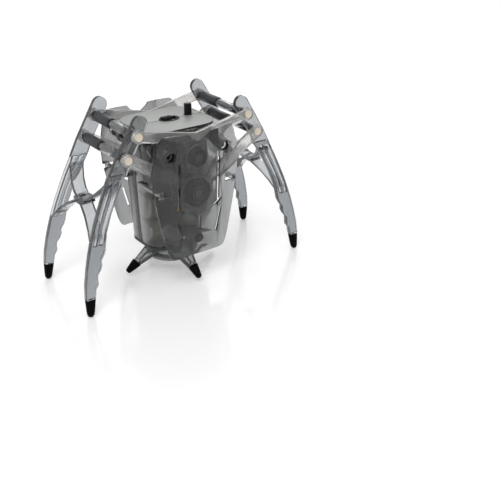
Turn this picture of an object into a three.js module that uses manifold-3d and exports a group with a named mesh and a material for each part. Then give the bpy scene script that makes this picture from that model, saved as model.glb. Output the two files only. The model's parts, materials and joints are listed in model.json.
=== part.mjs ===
// Walking spider robot in smoky see-through plastic, as separate pieces
// Millimetres, +Z up, front towards -Y
// Origin: on the floor, midway between the four outer feet

import * as THREE from 'three'
import { mergeVertices } from 'three/addons/utils/BufferGeometryUtils.js'
import Module from 'manifold-3d'

const wasm = await Module()
wasm.setup()

// Clearances shared by all pieces
const seatGap = 0.3
const runGap = 0.15
const cutOver = 1

// Facet counts of round shapes
const bigFacets = 16
const midFacets = 12
const smallFacets = 8

// Driving sizes of the walking mechanism
const crankThrow = 2
const lowerAxisZ = 43.5
const upperAxisZ = 59.4
const bodyX = -crankThrow

// Housing can, split front and rear at its middle
const housing = {
  topHalfWidth: 17.5,
  topHalfDepth: 14.5,
  bottomHalfWidth: 15.5,
  bottomHalfDepth: 12,
  cornerRadius: 8,
  wall: 1.4,
  bottomZ: 16,
  shoulderZ: 67.4,
  groove: 1,
  grooveInset: 0.9,
  lidOver: 0.6,
  lidThick: 1.6,
  roofThick: 1.2,
}
const lidBottomZ = housing.shoulderZ + housing.groove
const lidTopZ = lidBottomZ + housing.lidThick

// Cranks at the front and at the rear, which stand on the can's faces
const lowerCrank = { cheekRadius: 6.2, pinRadius: 2.4, journalRadius: 3, bossRadius: 6.4, hubRadius: 6 }
const upperCrank = { cheekRadius: 4, pinRadius: 1.5, journalRadius: 1.6, bossRadius: 4, hubRadius: 4.4 }
const crank = { standOff: 0.2, cheekThick: 2.6, capThick: 1.4, skin: 0.8, journalGap: 0.4 }
const shaftRadius = 1.2
const cheekInnerY = housing.topHalfDepth + crank.standOff
const cheekOuterY = cheekInnerY + crank.cheekThick

// Links between the cranks and the leg frames, and their planes as distances from the middle
const link = {
  sideGap: 0.9,
  thick: 1.8,
  width: 5.2,
  beamDepth: 4.4,
  hubRadius: 2.8,
  rimWidth: 0.7,
  recess: 0.5,
}
const linkInnerY = cheekOuterY + link.sideGap
const linkOuterY = linkInnerY + link.thick
const legOuterY = linkInnerY - seatGap
const capInnerY = linkOuterY + seatGap + seatGap / 3
const capOuterY = capInnerY + crank.capThick

// One leg frame: two legs joined by crossing curved ribs
const leg = {
  footSpan: 55,
  height: 80,
  hubDrop: 8.1,
  depth: 3,
  plateThick: 1.9,
  rim: 1,
  topRadius: 3.3,
  outerMargin: 4,
  upperHubX: 27.14,
  upperHubZ: 71.9,
  lowerHubX: 32.4,
  lowerHubZ: 63.2,
  stepLip: 0.5,
  clawZ: 27.5,
  clawEndZ: 7.7,
  splay: 4.4,
  scallop: 0.6,
  scallopPitch: 6.9,
  grooveDepth: 1.5,
  ribThick: 1.3,
  bridgeHalfLength: 5,
  bridgeHalfHeight: 1.5,
  pegRadius: 0.8,
  pegLength: 2.6,
}
const clawDepthShare = 0.8
const stepShare = 0.708
const grooveShares = [[0.15, 0.43], [0.57, 0.85]]

// Longer legs lift everything that hangs between them by the same amount
const bodyLift = leg.height - leg.hubDrop - leg.upperHubZ
const stepZ = leg.height * stepShare

// Outer edge of a leg from claw to hub: shares of foot span and of leg height
const legEdgeShares = [
  [1.025, 0.09],
  [1.014, 0.175],
  [0.967, 0.3125],
  [0.908, 0.4375],
  [0.841, 0.55],
  [0.775, 0.65],
  [0.728, 0.7125],
]
// Width of a leg across, as shares of its top width, at shares of leg height
const legWidthShares = [
  [0.6, 0.09],
  [0.75, 0.17],
  [0.91, 0.27],
  [1.07, 0.34],
  [0.92, 0.39],
  [0.87, 0.47],
  [0.9, 0.54],
  [0.99, 0.63],
  [1.07, 0.7125],
]
// Middle line of one crossing rib, rear leg to front leg: shares of leg plane and of leg height
const crossShare = 0.54
const ribShares = [
  [0.93, 0.722],
  [0.905, 0.682],
  [0.8, 0.65],
  [0.63, 0.612],
  [0.42, 0.578],
  [0.2, 0.553],
  [0, crossShare],
  [-0.27, 0.514],
  [-0.55, 0.478],
  [-0.82, 0.428],
  [-0.98, 0.388],
  [-1.05, 0.352],
]

// Cross tubes at the front, the rods inside them and the thick rear ends of the rods
const tube = { radius: 2, bore: 1.45, rodRadius: 1.15, sleeveRadius: 2.3, headRadius: 1.7, headProud: 0.2 }
const sleeveShare = 0.42

// Rubber tips
const legTip = { topRadius: 2.25, midRadius: 1.75, endRadius: 0.9, midZ: 2.2 }
const footTip = { length: 6.4, rootRadius: 2.2, endRadius: 1.25, slopeDeg: 34 }

// Folded cover plate at the front and its twin at the rear
const shield = {
  standOff: 3.6,
  bossGap: 0.7,
  thick: 0.8,
  foldX: 9.8,
  foldDeg: 12,
  tiltZ: 66,
  slotWidth: 1.1,
}
const shieldTiltShare = 0.045
const shieldFaceY = capOuterY + shield.standOff
// Right half of the plate's outline, from the notch at the top down: shares of width and height
const shieldTopZ = 71.3
const shieldHalfWidth = 21.6
const shieldEdgeShares = [
  [0, 0.933],
  [0.19, 0.972],
  [0.25, 0.994],
  [0.72, 1],
  [0.78, 0.996],
  [0.86, 0.962],
  [0.93, 0.885],
  [1, 0.785],
  [0.985, 0.67],
  [0.93, 0.59],
  [0.87, 0.49],
  [0.745, 0.31],
  [0.7, 0.262],
  [0.64, 0.222],
  [0.57, 0.208],
]
const sideNotch = { innerX: 13.9, centreZ: 46.4, innerHeight: 1.5, outerHeight: 2.5 }
const longSlot = { lowZ: 38, highZ: 58.5 }
const dashSlot = { innerX: 7.7, innerZ: 36.4, outerX: 11.9, outerZ: 39.2, width: 1 }
const slantSlot = { topX: 11.2, topZ: 33.5, bottomX: 8.7, bottomZ: 23.6, width: 1.1 }
const sight = { width: 1.9, lowZ: 26.8, highZ: 32.9 }

// Posts and screws that hold the cover plates
const post = {
  edgeInset: 4.2,
  drop: 5.2,
  cupRadius: 3.1,
  neckRadius: 2.25,
  rootRadius: 4.1,
  rootLength: 1.4,
  footFlat: 3.3,
  bore: 2.1,
  holeDepth: 2.8,
  lowZ: 22.3,
  lowRadius: 2.4,
}
const screw = { headRadius: 1.75, headHeight: 1.2, shankRadius: 0.9, shankLength: 6, slot: 0.5 }
const clip = { sideGap: 0.8, width: 1.6, height: 1.4, root: 4, headHeight: 3, headLength: 0.8 }

// Gear train
const addendumShare = 0.8
const dedendumShare = 1.15
const toothTipShare = 0.2
const toothRootShare = 0.6
const timing = { teeth: 16, idlerTeeth: 8, faceGap: 0.4, thick: 1.9 }
const timingModule = (upperAxisZ - lowerAxisZ) / (timing.teeth + timing.idlerTeeth)
const timingTipRadius = (timing.teeth / 2 + addendumShare) * timingModule
const gearModule = 0.75
const idlerZ = (lowerAxisZ + upperAxisZ) / 2
const timingFrontY = housing.wall + timing.faceGap - housingHalfDepth(lowerAxisZ - timingTipRadius)
const timingBackY = timingFrontY + timing.thick
const driveGear = { teeth: 24, standOff: 1.4, thick: 1.8 }
const driveFrontY = timingBackY + driveGear.standOff
const driveBackY = driveFrontY + driveGear.thick
const reduction = { teeth: 16, smallTeeth: 8, x: 6.5, thick: 1.6, gapY: 0.4 }
const motorPinionTeeth = 7
const walkMotor = { x: 1.5, radius: 3.5, boardGap: 0.8, shaftRadius: 0.5, noseRadius: 1.2, nose: 0.9 }
const axleRadius = 0.6
const gearPlate = { standOff: 1.8, thick: 1.2, leftX: -7.6, rightX: 11.5, lowZ: 23, highZ: 64 }

// Steering base under the can
const base = {
  y: 0.5,
  plateThick: 1.3,
  spigotWall: 0.8,
  hubRadius: 4,
  neckRadius: 9.6,
  rimRadius: 11.2,
  rimLowZ: 6.2,
  rimHeight: 2,
  topGap: 0.4,
  gearThick: 1.8,
}
const steerTeeth = 18
const steerPinionTeeth = 7
const steerMotor = { plateGap: 0.4, radius: 3.5, height: 11 }
const foot = {
  rootR: 9.3,
  tipR: 19.2,
  rootHalf: 4.6,
  tipHalf: 1.8,
  thick: 2.4,
  rootZ: 12.2,
  tipZ: 6.6,
  lift: 1.4,
  rib: 0.9,
  rim: 0.8,
  pocket: 1.1,
}
const footReach = 23.6

// Electrics
const cell = { radius: 5.8, thick: 5.4, x: -13.5, rim: 0.5, rimHeight: 0.4 }
const cellLowZ = housing.bottomZ + cell.radius + seatGap
const board = { wallGap: 0.8, thick: 1, halfWidth: 8.4, lowZ: 22, highZ: 63.5, shaftHole: 2 }
const boardY = housingHalfDepth(board.lowZ) - housing.wall - board.wallGap - board.thick
const power = {
  x: 1.2,
  knobLength: 4.2,
  knobWidth: 2.8,
  knobHeight: 1.3,
  travel: 3,
  sideGap: 0.5,
  flange: 0.8,
}
const receiver = { edgeInset: 6.1, y: 0.8, width: 2.7, depth: 2.4, height: 5, lens: 1, hole: 4 }
const receiverX = housing.topHalfWidth - receiver.edgeInset

// Helpers: geometry to solid and back, and the joins
function toSolid(geometry) {
  const bare = geometry.clone()
  bare.deleteAttribute('normal')
  bare.deleteAttribute('uv')
  const merged = mergeVertices(bare)
  return new wasm.Manifold(new wasm.Mesh({
    numProp: 3,
    vertProperties: new Float32Array(merged.attributes.position.array),
    triVerts: new Uint32Array(merged.index.array),
  }))
}

function toGeometry(solid) {
  const mesh = solid.getMesh()
  const geometry = new THREE.BufferGeometry()
  geometry.setAttribute('position', new THREE.BufferAttribute(mesh.vertProperties, 3))
  geometry.setIndex(new THREE.BufferAttribute(mesh.triVerts, 1))
  geometry.computeVertexNormals()
  return geometry
}

function join(...solids) {
  return solids.reduce((sum, next) => sum.add(next))
}

function cut(solid, ...tools) {
  return tools.reduce((rest, tool) => rest.subtract(tool), solid)
}

// Moves every corner of a solid by a rule and keeps its faces
function bend(solid, rule) {
  const { vertProperties, triVerts } = solid.getMesh()
  const point = new THREE.Vector3()
  for (let i = 0; i < vertProperties.length; i += 3) {
    point.fromArray(vertProperties, i)
    rule(point)
    point.toArray(vertProperties, i)
  }
  return new wasm.Manifold(new wasm.Mesh({ numProp: 3, vertProperties, triVerts }))
}

// Mirror image across the plane where one coordinate is zero, with faces turned back out
function mirrored(solid, axis) {
  const { vertProperties, triVerts } = solid.getMesh()
  for (let i = axis; i < vertProperties.length; i += 3) {
    vertProperties[i] = -vertProperties[i]
  }
  for (let i = 0; i < triVerts.length; i += 3) {
    const second = triVerts[i + 1]
    triVerts[i + 1] = triVerts[i + 2]
    triVerts[i + 2] = second
  }
  return new wasm.Manifold(new wasm.Mesh({ numProp: 3, vertProperties, triVerts }))
}
const acrossX = 0
const acrossY = 1

// Helpers: basic solids
function box(x0, x1, y0, y1, z0, z1) {
  const geometry = new THREE.BoxGeometry(x1 - x0, y1 - y0, z1 - z0)
  geometry.translate((x0 + x1) / 2, (y0 + y1) / 2, (z0 + z1) / 2)
  return toSolid(geometry)
}

function rodAlongY(radius, x, z, y0, y1, facets) {
  const geometry = new THREE.CylinderGeometry(radius, radius, y1 - y0, facets)
  geometry.translate(x, (y0 + y1) / 2, z)
  return toSolid(geometry)
}

function rodAlongZ(radius, x, y, z0, z1, facets) {
  const geometry = new THREE.CylinderGeometry(radius, radius, z1 - z0, facets)
  geometry.rotateX(Math.PI / 2)
  geometry.translate(x, y, (z0 + z1) / 2)
  return toSolid(geometry)
}

function rodAlongX(radius, y, z, x0, x1, facets) {
  const geometry = new THREE.CylinderGeometry(radius, radius, x1 - x0, facets)
  geometry.rotateZ(Math.PI / 2)
  geometry.translate((x0 + x1) / 2, y, z)
  return toSolid(geometry)
}

function latheAlongZ(profile, facets) {
  const points = profile.map(([r, z]) => new THREE.Vector2(r, z))
  const geometry = new THREE.LatheGeometry(points, facets)
  geometry.rotateX(Math.PI / 2)
  return toSolid(geometry)
}

function shapeOf(points) {
  return new THREE.Shape(points.map(([u, v]) => new THREE.Vector2(u, v)))
}

// A flat shape drawn in X and Z, given a thickness along Y
function plateAcrossY(shape, y0, y1, curveSegments = 6) {
  const geometry = new THREE.ExtrudeGeometry(shape, { depth: y1 - y0, bevelEnabled: false, curveSegments })
  geometry.rotateX(Math.PI / 2)
  geometry.translate(0, y1, 0)
  return toSolid(geometry)
}

// A flat shape drawn in X and Y, given a thickness along Z
function plateAcrossZ(shape, z0, z1, curveSegments = 6) {
  const geometry = new THREE.ExtrudeGeometry(shape, { depth: z1 - z0, bevelEnabled: false, curveSegments })
  geometry.translate(0, 0, z0)
  return toSolid(geometry)
}

// A flat shape drawn in Y and Z, given a thickness along X
function plateAcrossX(shape, x0, x1, curveSegments = 6) {
  const geometry = new THREE.ExtrudeGeometry(shape, { depth: x1 - x0, bevelEnabled: false, curveSegments })
  const turn = new THREE.Matrix4().makeBasis(
    new THREE.Vector3(0, 1, 0),
    new THREE.Vector3(0, 0, 1),
    new THREE.Vector3(1, 0, 0),
  )
  geometry.applyMatrix4(turn)
  geometry.translate(x0, 0, 0)
  return toSolid(geometry)
}

function roundedRectangle(halfWidth, halfDepth, radius) {
  const x = halfWidth - radius
  const y = halfDepth - radius
  const shape = new THREE.Shape()
  shape.absarc(x, y, radius, 0, Math.PI / 2)
  shape.absarc(-x, y, radius, Math.PI / 2, Math.PI)
  shape.absarc(-x, -y, radius, Math.PI, 3 * Math.PI / 2)
  shape.absarc(x, -y, radius, 3 * Math.PI / 2, 2 * Math.PI)
  return shape
}

// A strip of even width along a line of points
function strip(line, width) {
  const left = []
  const right = []
  line.forEach((point, i) => {
    const before = line[Math.max(i - 1, 0)]
    const after = line[Math.min(i + 1, line.length - 1)]
    const run = new THREE.Vector2(after.x - before.x, after.y - before.y).normalize()
    left.push([point.x - run.y * width / 2, point.y + run.x * width / 2])
    right.unshift([point.x + run.y * width / 2, point.y - run.x * width / 2])
  })
  return shapeOf([...right.reverse(), ...left.reverse()])
}

// A link body: straight sides that touch two circles
function tangentStrip(x0, z0, radius0, x1, z1, radius1) {
  const run = new THREE.Vector2(x1 - x0, z1 - z0)
  const along = run.angle()
  const spread = Math.acos((radius0 - radius1) / run.length())
  const corner = (x, z, radius, angle) => [x + radius * Math.cos(angle), z + radius * Math.sin(angle)]
  return shapeOf([
    corner(x0, z0, radius0, along - spread),
    corner(x1, z1, radius1, along - spread),
    corner(x1, z1, radius1, along + spread),
    corner(x0, z0, radius0, along + spread),
  ])
}

// Reads a curve through points at a given height by linear steps between them
function atHeight(points, z) {
  for (let i = 0; i + 1 < points.length; i += 1) {
    const [x0, z0] = points[i]
    const [x1, z1] = points[i + 1]
    if (z <= z1 || i + 2 === points.length) {
      return x0 + (x1 - x0) * (z - z0) / (z1 - z0)
    }
  }
  return points[0][0]
}

function smooth(points, count) {
  const curve = new THREE.SplineCurve(points.map(([x, z]) => new THREE.Vector2(x, z)))
  return curve.getPoints(count).map((p) => [p.x, p.y])
}

// Gears: straight-sided teeth, a little thin so that they run free
function gearShape(teeth, module, phase, boreRadius) {
  const pitch = teeth * module / 2
  const step = 2 * Math.PI / teeth
  const points = []
  for (let i = 0; i < teeth; i += 1) {
    const middle = phase + i * step
    const corners = [
      [pitch - dedendumShare * module, -toothRootShare / 2],
      [pitch + addendumShare * module, -toothTipShare / 2],
      [pitch + addendumShare * module, toothTipShare / 2],
      [pitch - dedendumShare * module, toothRootShare / 2],
    ]
    corners.forEach(([radius, share]) => {
      const angle = middle + share * step
      points.push([radius * Math.cos(angle), radius * Math.sin(angle)])
    })
  }
  const shape = shapeOf(points)
  if (boreRadius > 0) {
    const bore = new THREE.Path()
    bore.absarc(0, 0, boreRadius, 0, 2 * Math.PI, true)
    shape.holes.push(bore)
  }
  return shape
}

// Phase of a gear that meshes with another one lying in a direction
function meshPhase(phase, teeth, otherTeeth, direction) {
  const lead = phase - direction
  return direction + Math.PI - lead * teeth / otherTeeth + Math.PI / otherTeeth
}

function spurGearAcrossY(teeth, module, phase, boreRadius, x, z, y0, y1) {
  const geometry = new THREE.ExtrudeGeometry(gearShape(teeth, module, phase, boreRadius), {
    depth: y1 - y0,
    bevelEnabled: false,
    curveSegments: smallFacets / 2,
  })
  geometry.rotateX(Math.PI / 2)
  geometry.translate(x, y1, z)
  return toSolid(geometry)
}

// Materials, as seen on the object
function finish(color, roughness, metalness, opacity = 1) {
  return new THREE.MeshStandardMaterial({
    color, roughness, metalness, opacity, transparent: opacity < 1,
  })
}
const smokyLeg = finish(0x8f98a3, 0.25, 0, 0.75)
const smokyHousing = finish(0x7c8380, 0.3, 0, 0.8)
const frostedCover = finish(0x7f8385, 0.5, 0, 0.7)
const clearLink = finish(0xdcd9d2, 0.3, 0, 0.6)
const creamHead = finish(0xe6d9c4, 0.5, 0)
const blackPlastic = finish(0x141416, 0.5, 0)
const blackRubber = finish(0x0d0d0e, 0.75, 0)
const darkGrey = finish(0x3b3e41, 0.45, 0)
const steel = finish(0xb4b6b8, 0.3, 1)
const whiteGear = finish(0xe9e7e1, 0.45, 0)
const greenBoard = finish(0x2d5a3c, 0.5, 0)
const brass = finish(0xc2a05a, 0.35, 1)

const robot = new THREE.Group()
const body = new THREE.Group()
body.position.set(bodyX, 0, bodyLift)
robot.add(body)
const walkingFrame = new THREE.Group()
robot.add(walkingFrame)
const linkage = new THREE.Group()
linkage.position.set(0, 0, bodyLift)
walkingFrame.add(linkage)
const turntable = new THREE.Group()
turntable.position.set(0, base.y, 0)
body.add(turntable)

function place(group, name, solid, material) {
  const mesh = new THREE.Mesh(toGeometry(solid), material)
  mesh.name = name
  group.add(mesh)
  return mesh
}

// Housing halves
function housingHalfWidth(z) {
  const rise = (z - housing.bottomZ) / (housing.shoulderZ - housing.bottomZ)
  return housing.bottomHalfWidth + (housing.topHalfWidth - housing.bottomHalfWidth) * rise
}

function housingHalfDepth(z) {
  const rise = (z - housing.bottomZ) / (housing.shoulderZ - housing.bottomZ)
  return housing.bottomHalfDepth + (housing.topHalfDepth - housing.bottomHalfDepth) * rise
}

const cornerFacets = 3
const endFacets = 4

function housingBlock(inset, z0, z1) {
  const width = housingHalfWidth(z1) - inset
  const depth = housingHalfDepth(z1) - inset
  const outline = roundedRectangle(width, depth, housing.cornerRadius - inset)
  const widthShare = (housingHalfWidth(z0) - inset) / width
  const depthShare = (housingHalfDepth(z0) - inset) / depth
  return bend(plateAcrossZ(outline, z0, z1, cornerFacets), (p) => {
    const rise = (p.z - z0) / (z1 - z0)
    p.x *= widthShare + (1 - widthShare) * rise
    p.y *= depthShare + (1 - depthShare) * rise
  })
}

function housingShell() {
  const lidOutline = roundedRectangle(
    housing.topHalfWidth + housing.lidOver,
    housing.topHalfDepth + housing.lidOver,
    housing.cornerRadius + housing.lidOver,
  )
  const neckOutline = roundedRectangle(
    housing.topHalfWidth - housing.grooveInset,
    housing.topHalfDepth - housing.grooveInset,
    housing.cornerRadius - housing.grooveInset,
  )
  const outside = join(
    housingBlock(0, housing.bottomZ, housing.shoulderZ),
    plateAcrossZ(neckOutline, housing.shoulderZ - cutOver, lidBottomZ + cutOver, cornerFacets),
    plateAcrossZ(lidOutline, lidBottomZ, lidTopZ, cornerFacets),
  )
  return cut(outside, housingBlock(housing.wall, housing.bottomZ - cutOver, lidTopZ - housing.roofThick))
}

function shieldInnerY(x, z) {
  const fold = Math.max(Math.abs(x) - shield.foldX, 0) * Math.tan(THREE.MathUtils.degToRad(shield.foldDeg))
  return shieldFaceY - (shield.tiltZ - z) * shieldTiltShare - fold - shield.thick
}

// Screw places on the front, the rear ones are their mirror images
const postX = housing.topHalfWidth - post.edgeInset
const postZ = housing.shoulderZ - post.drop
const screwPlaces = [
  { side: 'right', x: postX, z: postZ, radius: post.cupRadius },
  { side: 'left', x: -postX, z: postZ, radius: post.cupRadius },
]
const studPlace = { x: 0, z: post.lowZ, radius: post.lowRadius }
const postPlaces = [...screwPlaces, studPlace]

function postEndY(place) {
  return shieldInnerY(Math.abs(place.x) + place.radius, place.z - place.radius) - seatGap
}

// Outer face of the can at one side place, measured on its rounded section
function canFaceY(x, z) {
  const straight = housingHalfWidth(z) - housing.cornerRadius
  const reach = Math.max(Math.abs(x) - straight, 0)
  const radius = housing.cornerRadius
  return housingHalfDepth(z) - radius + Math.sqrt(radius * radius - reach * reach)
}

// A cover plate's post: a wide foot on the can, a neck and a cup for the screw, all flat on top,
// where the beam swings past
function screwPost(p) {
  const faceY = -canFaceY(p.x, p.z)
  const footY = faceY - post.rootLength
  const cupY = -capInnerY
  const endY = -postEndY(p)
  const reach = 2 * post.rootRadius
  const spool = join(
    rodAlongY(post.rootRadius, p.x, p.z, footY, faceY + housing.wall, midFacets),
    rodAlongY(post.neckRadius, p.x, p.z, cupY - seatGap, footY + seatGap, smallFacets),
    rodAlongY(post.cupRadius, p.x, p.z, endY, cupY, midFacets),
  )
  const aboveCup = box(
    p.x - reach, p.x + reach, endY - cutOver, footY, p.z + post.neckRadius, p.z + reach,
  )
  const aboveFoot = box(
    p.x - reach, p.x + reach, footY - cutOver, 0, p.z + post.footFlat, p.z + reach,
  )
  return cut(spool, aboveCup, aboveFoot)
}

// A side arm that reaches through the cover plate's notch and holds it with a wider head
function sideClip(side) {
  const z = sideNotch.centreZ
  const wallX = housingHalfWidth(z)
  const inner = wallX + clip.sideGap
  const outer = inner + clip.width
  const plateY = shieldInnerY(inner, z + clip.headHeight / 2) + shield.thick + seatGap
  const rootY = -housingHalfDepth(z) + housing.cornerRadius
  const outline = [
    [side * (wallX - housing.wall / 2), rootY],
    [side * outer, rootY],
    [side * outer, -plateY],
    [side * inner, -plateY],
    [side * inner, rootY - clip.root],
    [side * (wallX - housing.wall / 2), rootY - clip.root],
  ]
  const ordered = side > 0 ? outline.reverse() : outline
  const arm = plateAcrossZ(shapeOf(ordered), z - clip.height / 2, z + clip.height / 2)
  const half = clip.headHeight / 2
  const head = box(
    Math.min(side * inner, side * outer), Math.max(side * inner, side * outer),
    -plateY - clip.headLength, -plateY + seatGap / 3, z - half, z + half,
  )
  return join(arm, head)
}

function frontHalf() {
  const half = housing.topHalfDepth + housing.topHalfWidth
  const keep = box(-half, half, -half, -seatGap / 2, 0, lidTopZ + cutOver)
  let solid = join(housingShell().intersect(keep), ...screwPlaces.map(screwPost), sideClip(1), sideClip(-1))
  const studRoot = -canFaceY(studPlace.x, studPlace.z) + housing.wall
  const studSeat = -postEndY(studPlace)
  solid = join(
    solid,
    rodAlongY(studPlace.radius, studPlace.x, studPlace.z, studSeat, studRoot, midFacets),
    rodAlongY(
      post.bore - seatGap, studPlace.x, studPlace.z,
      studSeat - shield.thick - seatGap, studSeat + seatGap, smallFacets,
    ),
  )
  const bearings = [lowerAxisZ, upperAxisZ]
  bearings.forEach((z) => {
    const face = -cheekInnerY + seatGap
    const back = housing.wall - housingHalfDepth(z)
    const ring = rodAlongY(shaftRadius + housing.wall, 0, z, face, back, smallFacets)
    solid = join(solid, ring)
    const hole = rodAlongY(shaftRadius + runGap, 0, z, -shieldFaceY, 0, smallFacets)
    solid = cut(solid, hole)
  })
  screwPlaces.forEach((p) => {
    const end = -postEndY(p)
    const seat = end + post.holeDepth
    const shankEnd = seat + screw.shankLength + seatGap
    const head = rodAlongY(screw.headRadius + seatGap, p.x, p.z, end - cutOver, seat, smallFacets)
    const shank = rodAlongY(screw.shankRadius + runGap, p.x, p.z, end, shankEnd, smallFacets)
    solid = cut(solid, head, shank)
  })
  return solid
}

// Openings of the roof: the switch slot on the seam and the receiver's window
const slotHalfLength = (power.knobLength + power.travel) / 2 + seatGap
const slotHalfWidth = power.knobWidth / 2 + power.sideGap

function roofCuts() {
  const x0 = receiverX - receiver.width / 2 - seatGap
  const x1 = receiverX + receiver.width / 2 + seatGap
  const y0 = receiver.y - receiver.depth / 2 - seatGap
  const y1 = receiver.y + receiver.depth / 2 + seatGap
  const low = lidTopZ - 2 * housing.roofThick
  return [
    box(
      power.x - slotHalfLength, power.x + slotHalfLength,
      -slotHalfWidth, slotHalfWidth, low, lidTopZ + cutOver,
    ),
    box(x0, x1, y0, y1, low, lidTopZ + cutOver),
  ]
}

const housingHalf = frontHalf()
const idlerRootY = housing.wall / 2 - housingHalfDepth(idlerZ)
const idlerAxle = join(
  rodAlongY(axleRadius, 0, idlerZ, idlerRootY, timingBackY, smallFacets),
  rodAlongY(2 * axleRadius, 0, idlerZ, idlerRootY, timingFrontY - seatGap, smallFacets),
)
place(body, 'front_housing', cut(join(housingHalf, idlerAxle), ...roofCuts()), smokyHousing)
place(body, 'rear_housing', cut(mirrored(housingHalf, acrossY), ...roofCuts()), smokyHousing)

// Dark bottom plate that closes the can and carries the steering base
const plateTopZ = housing.bottomZ - seatGap
const plateLowZ = plateTopZ - base.plateThick
const bottomRing = plateAcrossZ(
  roundedRectangle(housing.bottomHalfWidth, housing.bottomHalfDepth, housing.cornerRadius - housing.wall),
  plateLowZ,
  plateTopZ,
  cornerFacets,
)
const spigot = cut(
  housingBlock(housing.wall + seatGap, plateTopZ - cutOver / 2, housing.bottomZ + base.plateThick),
  housingBlock(
    housing.wall + seatGap + base.spigotWall,
    plateTopZ - cutOver, housing.bottomZ + base.plateThick + cutOver,
  ),
)
place(body, 'bottom_plate', cut(
  join(bottomRing, spigot),
  rodAlongZ(base.hubRadius + runGap, 0, base.y, plateLowZ - cutOver, housing.bottomZ + cutOver, midFacets),
  box(
    -housing.bottomHalfWidth, cell.x + cell.thick + seatGap,
    -cell.radius - seatGap, cell.radius + seatGap,
    cellLowZ - cell.radius - seatGap, cellLowZ,
  ),
), darkGrey)

// Folded cover plates
function shieldOutline() {
  const right = shieldEdgeShares.map(([x, z]) => [x * shieldHalfWidth, z * shieldTopZ])
  const left = right.slice(1).map(([x, z]) => [-x, z]).reverse()
  return shapeOf([...left, ...right].reverse())
}

function sideNotchCut(side) {
  const innerHalf = sideNotch.innerHeight / 2
  const outerHalf = sideNotch.outerHeight / 2
  const outerX = shieldHalfWidth + cutOver
  const outline = [
    [side * sideNotch.innerX, sideNotch.centreZ - innerHalf],
    [side * outerX, sideNotch.centreZ - outerHalf],
    [side * outerX, sideNotch.centreZ + outerHalf],
    [side * sideNotch.innerX, sideNotch.centreZ + innerHalf],
  ]
  return plateAcrossY(shapeOf(side > 0 ? outline : outline.reverse()), -shieldFaceY - cutOver, 0)
}

function slotCuts(side) {
  const half = shield.slotWidth / 2
  const x = side * shield.foldX
  const front = -shieldFaceY - cutOver
  const slant = strip([
    new THREE.Vector2(side * slantSlot.bottomX, slantSlot.bottomZ),
    new THREE.Vector2(side * slantSlot.topX, slantSlot.topZ),
  ], slantSlot.width)
  const dash = strip([
    new THREE.Vector2(side * dashSlot.innerX, dashSlot.innerZ),
    new THREE.Vector2(side * dashSlot.outerX, dashSlot.outerZ),
  ], dashSlot.width)
  return [
    box(x - half, x + half, front, 0, longSlot.lowZ, longSlot.highZ),
    plateAcrossY(dash, front, 0),
    plateAcrossY(slant, front, 0),
  ]
}

function ringRib(x, z, outer, inner, startY) {
  const back = -shieldFaceY + shield.thick / 2
  return cut(
    rodAlongY(outer, x, z, back, startY, midFacets),
    rodAlongY(inner, x, z, back - cutOver, startY + cutOver, midFacets),
  )
}

function frontShield() {
  const flatPlate = plateAcrossY(shieldOutline(), -shieldFaceY, -shieldFaceY + shield.thick)
  const holes = [
    ...postPlaces.map((p) => rodAlongY(post.bore, p.x, p.z, -shieldFaceY - cutOver, 0, midFacets)),
    sideNotchCut(1),
    sideNotchCut(-1),
    ...slotCuts(1),
    ...slotCuts(-1),
    box(-sight.width / 2, sight.width / 2, -shieldFaceY - cutOver, 0, sight.lowZ, sight.highZ),
  ]
  const pierced = cut(flatPlate, ...holes)
  const far = shieldHalfWidth + cutOver
  const front = -shieldFaceY - cutOver
  const slice = (x0, x1) => pierced.intersect(box(x0, x1, front, 0, 0, shieldTopZ + cutOver))
  const slope = Math.tan(THREE.MathUtils.degToRad(shield.foldDeg))
  const overlap = seatGap / 10
  const wing = (side) => bend(
    side > 0 ? slice(shield.foldX - overlap, far) : slice(-far, -shield.foldX + overlap),
    (p) => {
      p.y += (side * p.x - shield.foldX) * slope
    },
  )
  const folded = join(slice(-shield.foldX, shield.foldX), wing(1), wing(-1))
  const bossY = capOuterY + shield.bossGap
  const lowerStart = -bossY - (shield.tiltZ - lowerAxisZ) * shieldTiltShare
  const upperStart = -bossY - (shield.tiltZ - upperAxisZ) * shieldTiltShare
  const ribbed = join(
    folded,
    ringRib(0, lowerAxisZ, lowerCrank.bossRadius, lowerCrank.journalRadius + seatGap, lowerStart),
    ringRib(0, upperAxisZ, upperCrank.bossRadius, upperCrank.journalRadius + seatGap, upperStart),
  )
  return bend(ribbed, (p) => {
    p.y += (shield.tiltZ - p.z) * shieldTiltShare
  })
}

const coverPlate = frontShield()
place(body, 'front_shield', coverPlate, frostedCover)
place(body, 'rear_shield', mirrored(coverPlate, acrossY), frostedCover)

// Cover plate screws, deep in their posts
function shieldScrew(p) {
  const headOut = -postEndY(p) + post.holeDepth - screw.headHeight
  const headIn = headOut + screw.headHeight - seatGap / 3
  const half = screw.slot / 2
  const cross = screw.headRadius - screw.slot
  return cut(
    join(
      rodAlongY(screw.headRadius, p.x, p.z, headOut - seatGap, headIn, smallFacets),
      rodAlongY(screw.shankRadius, p.x, p.z, headOut, headIn + screw.shankLength, smallFacets),
    ),
    box(p.x - half, p.x + half, headOut - cutOver, headOut, p.z - cross, p.z + cross),
    box(p.x - cross, p.x + cross, headOut - cutOver, headOut, p.z - half, p.z + half),
  )
}
screwPlaces.forEach((p) => {
  const screwSolid = shieldScrew(p)
  place(body, `front_${p.side}_screw`, screwSolid, blackPlastic)
  place(body, `rear_${p.side}_screw`, mirrored(screwSolid, acrossY), blackPlastic)
})

// Cranks: the front solids are made, the rear ones mirror them
function crankDisc(size, z) {
  return join(
    rodAlongY(size.cheekRadius, 0, z, -cheekOuterY, -cheekInnerY, bigFacets),
    rodAlongY(size.pinRadius, crankThrow, z, -capInnerY + seatGap / 3, -cheekOuterY + seatGap / 3, midFacets),
  )
}

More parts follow.
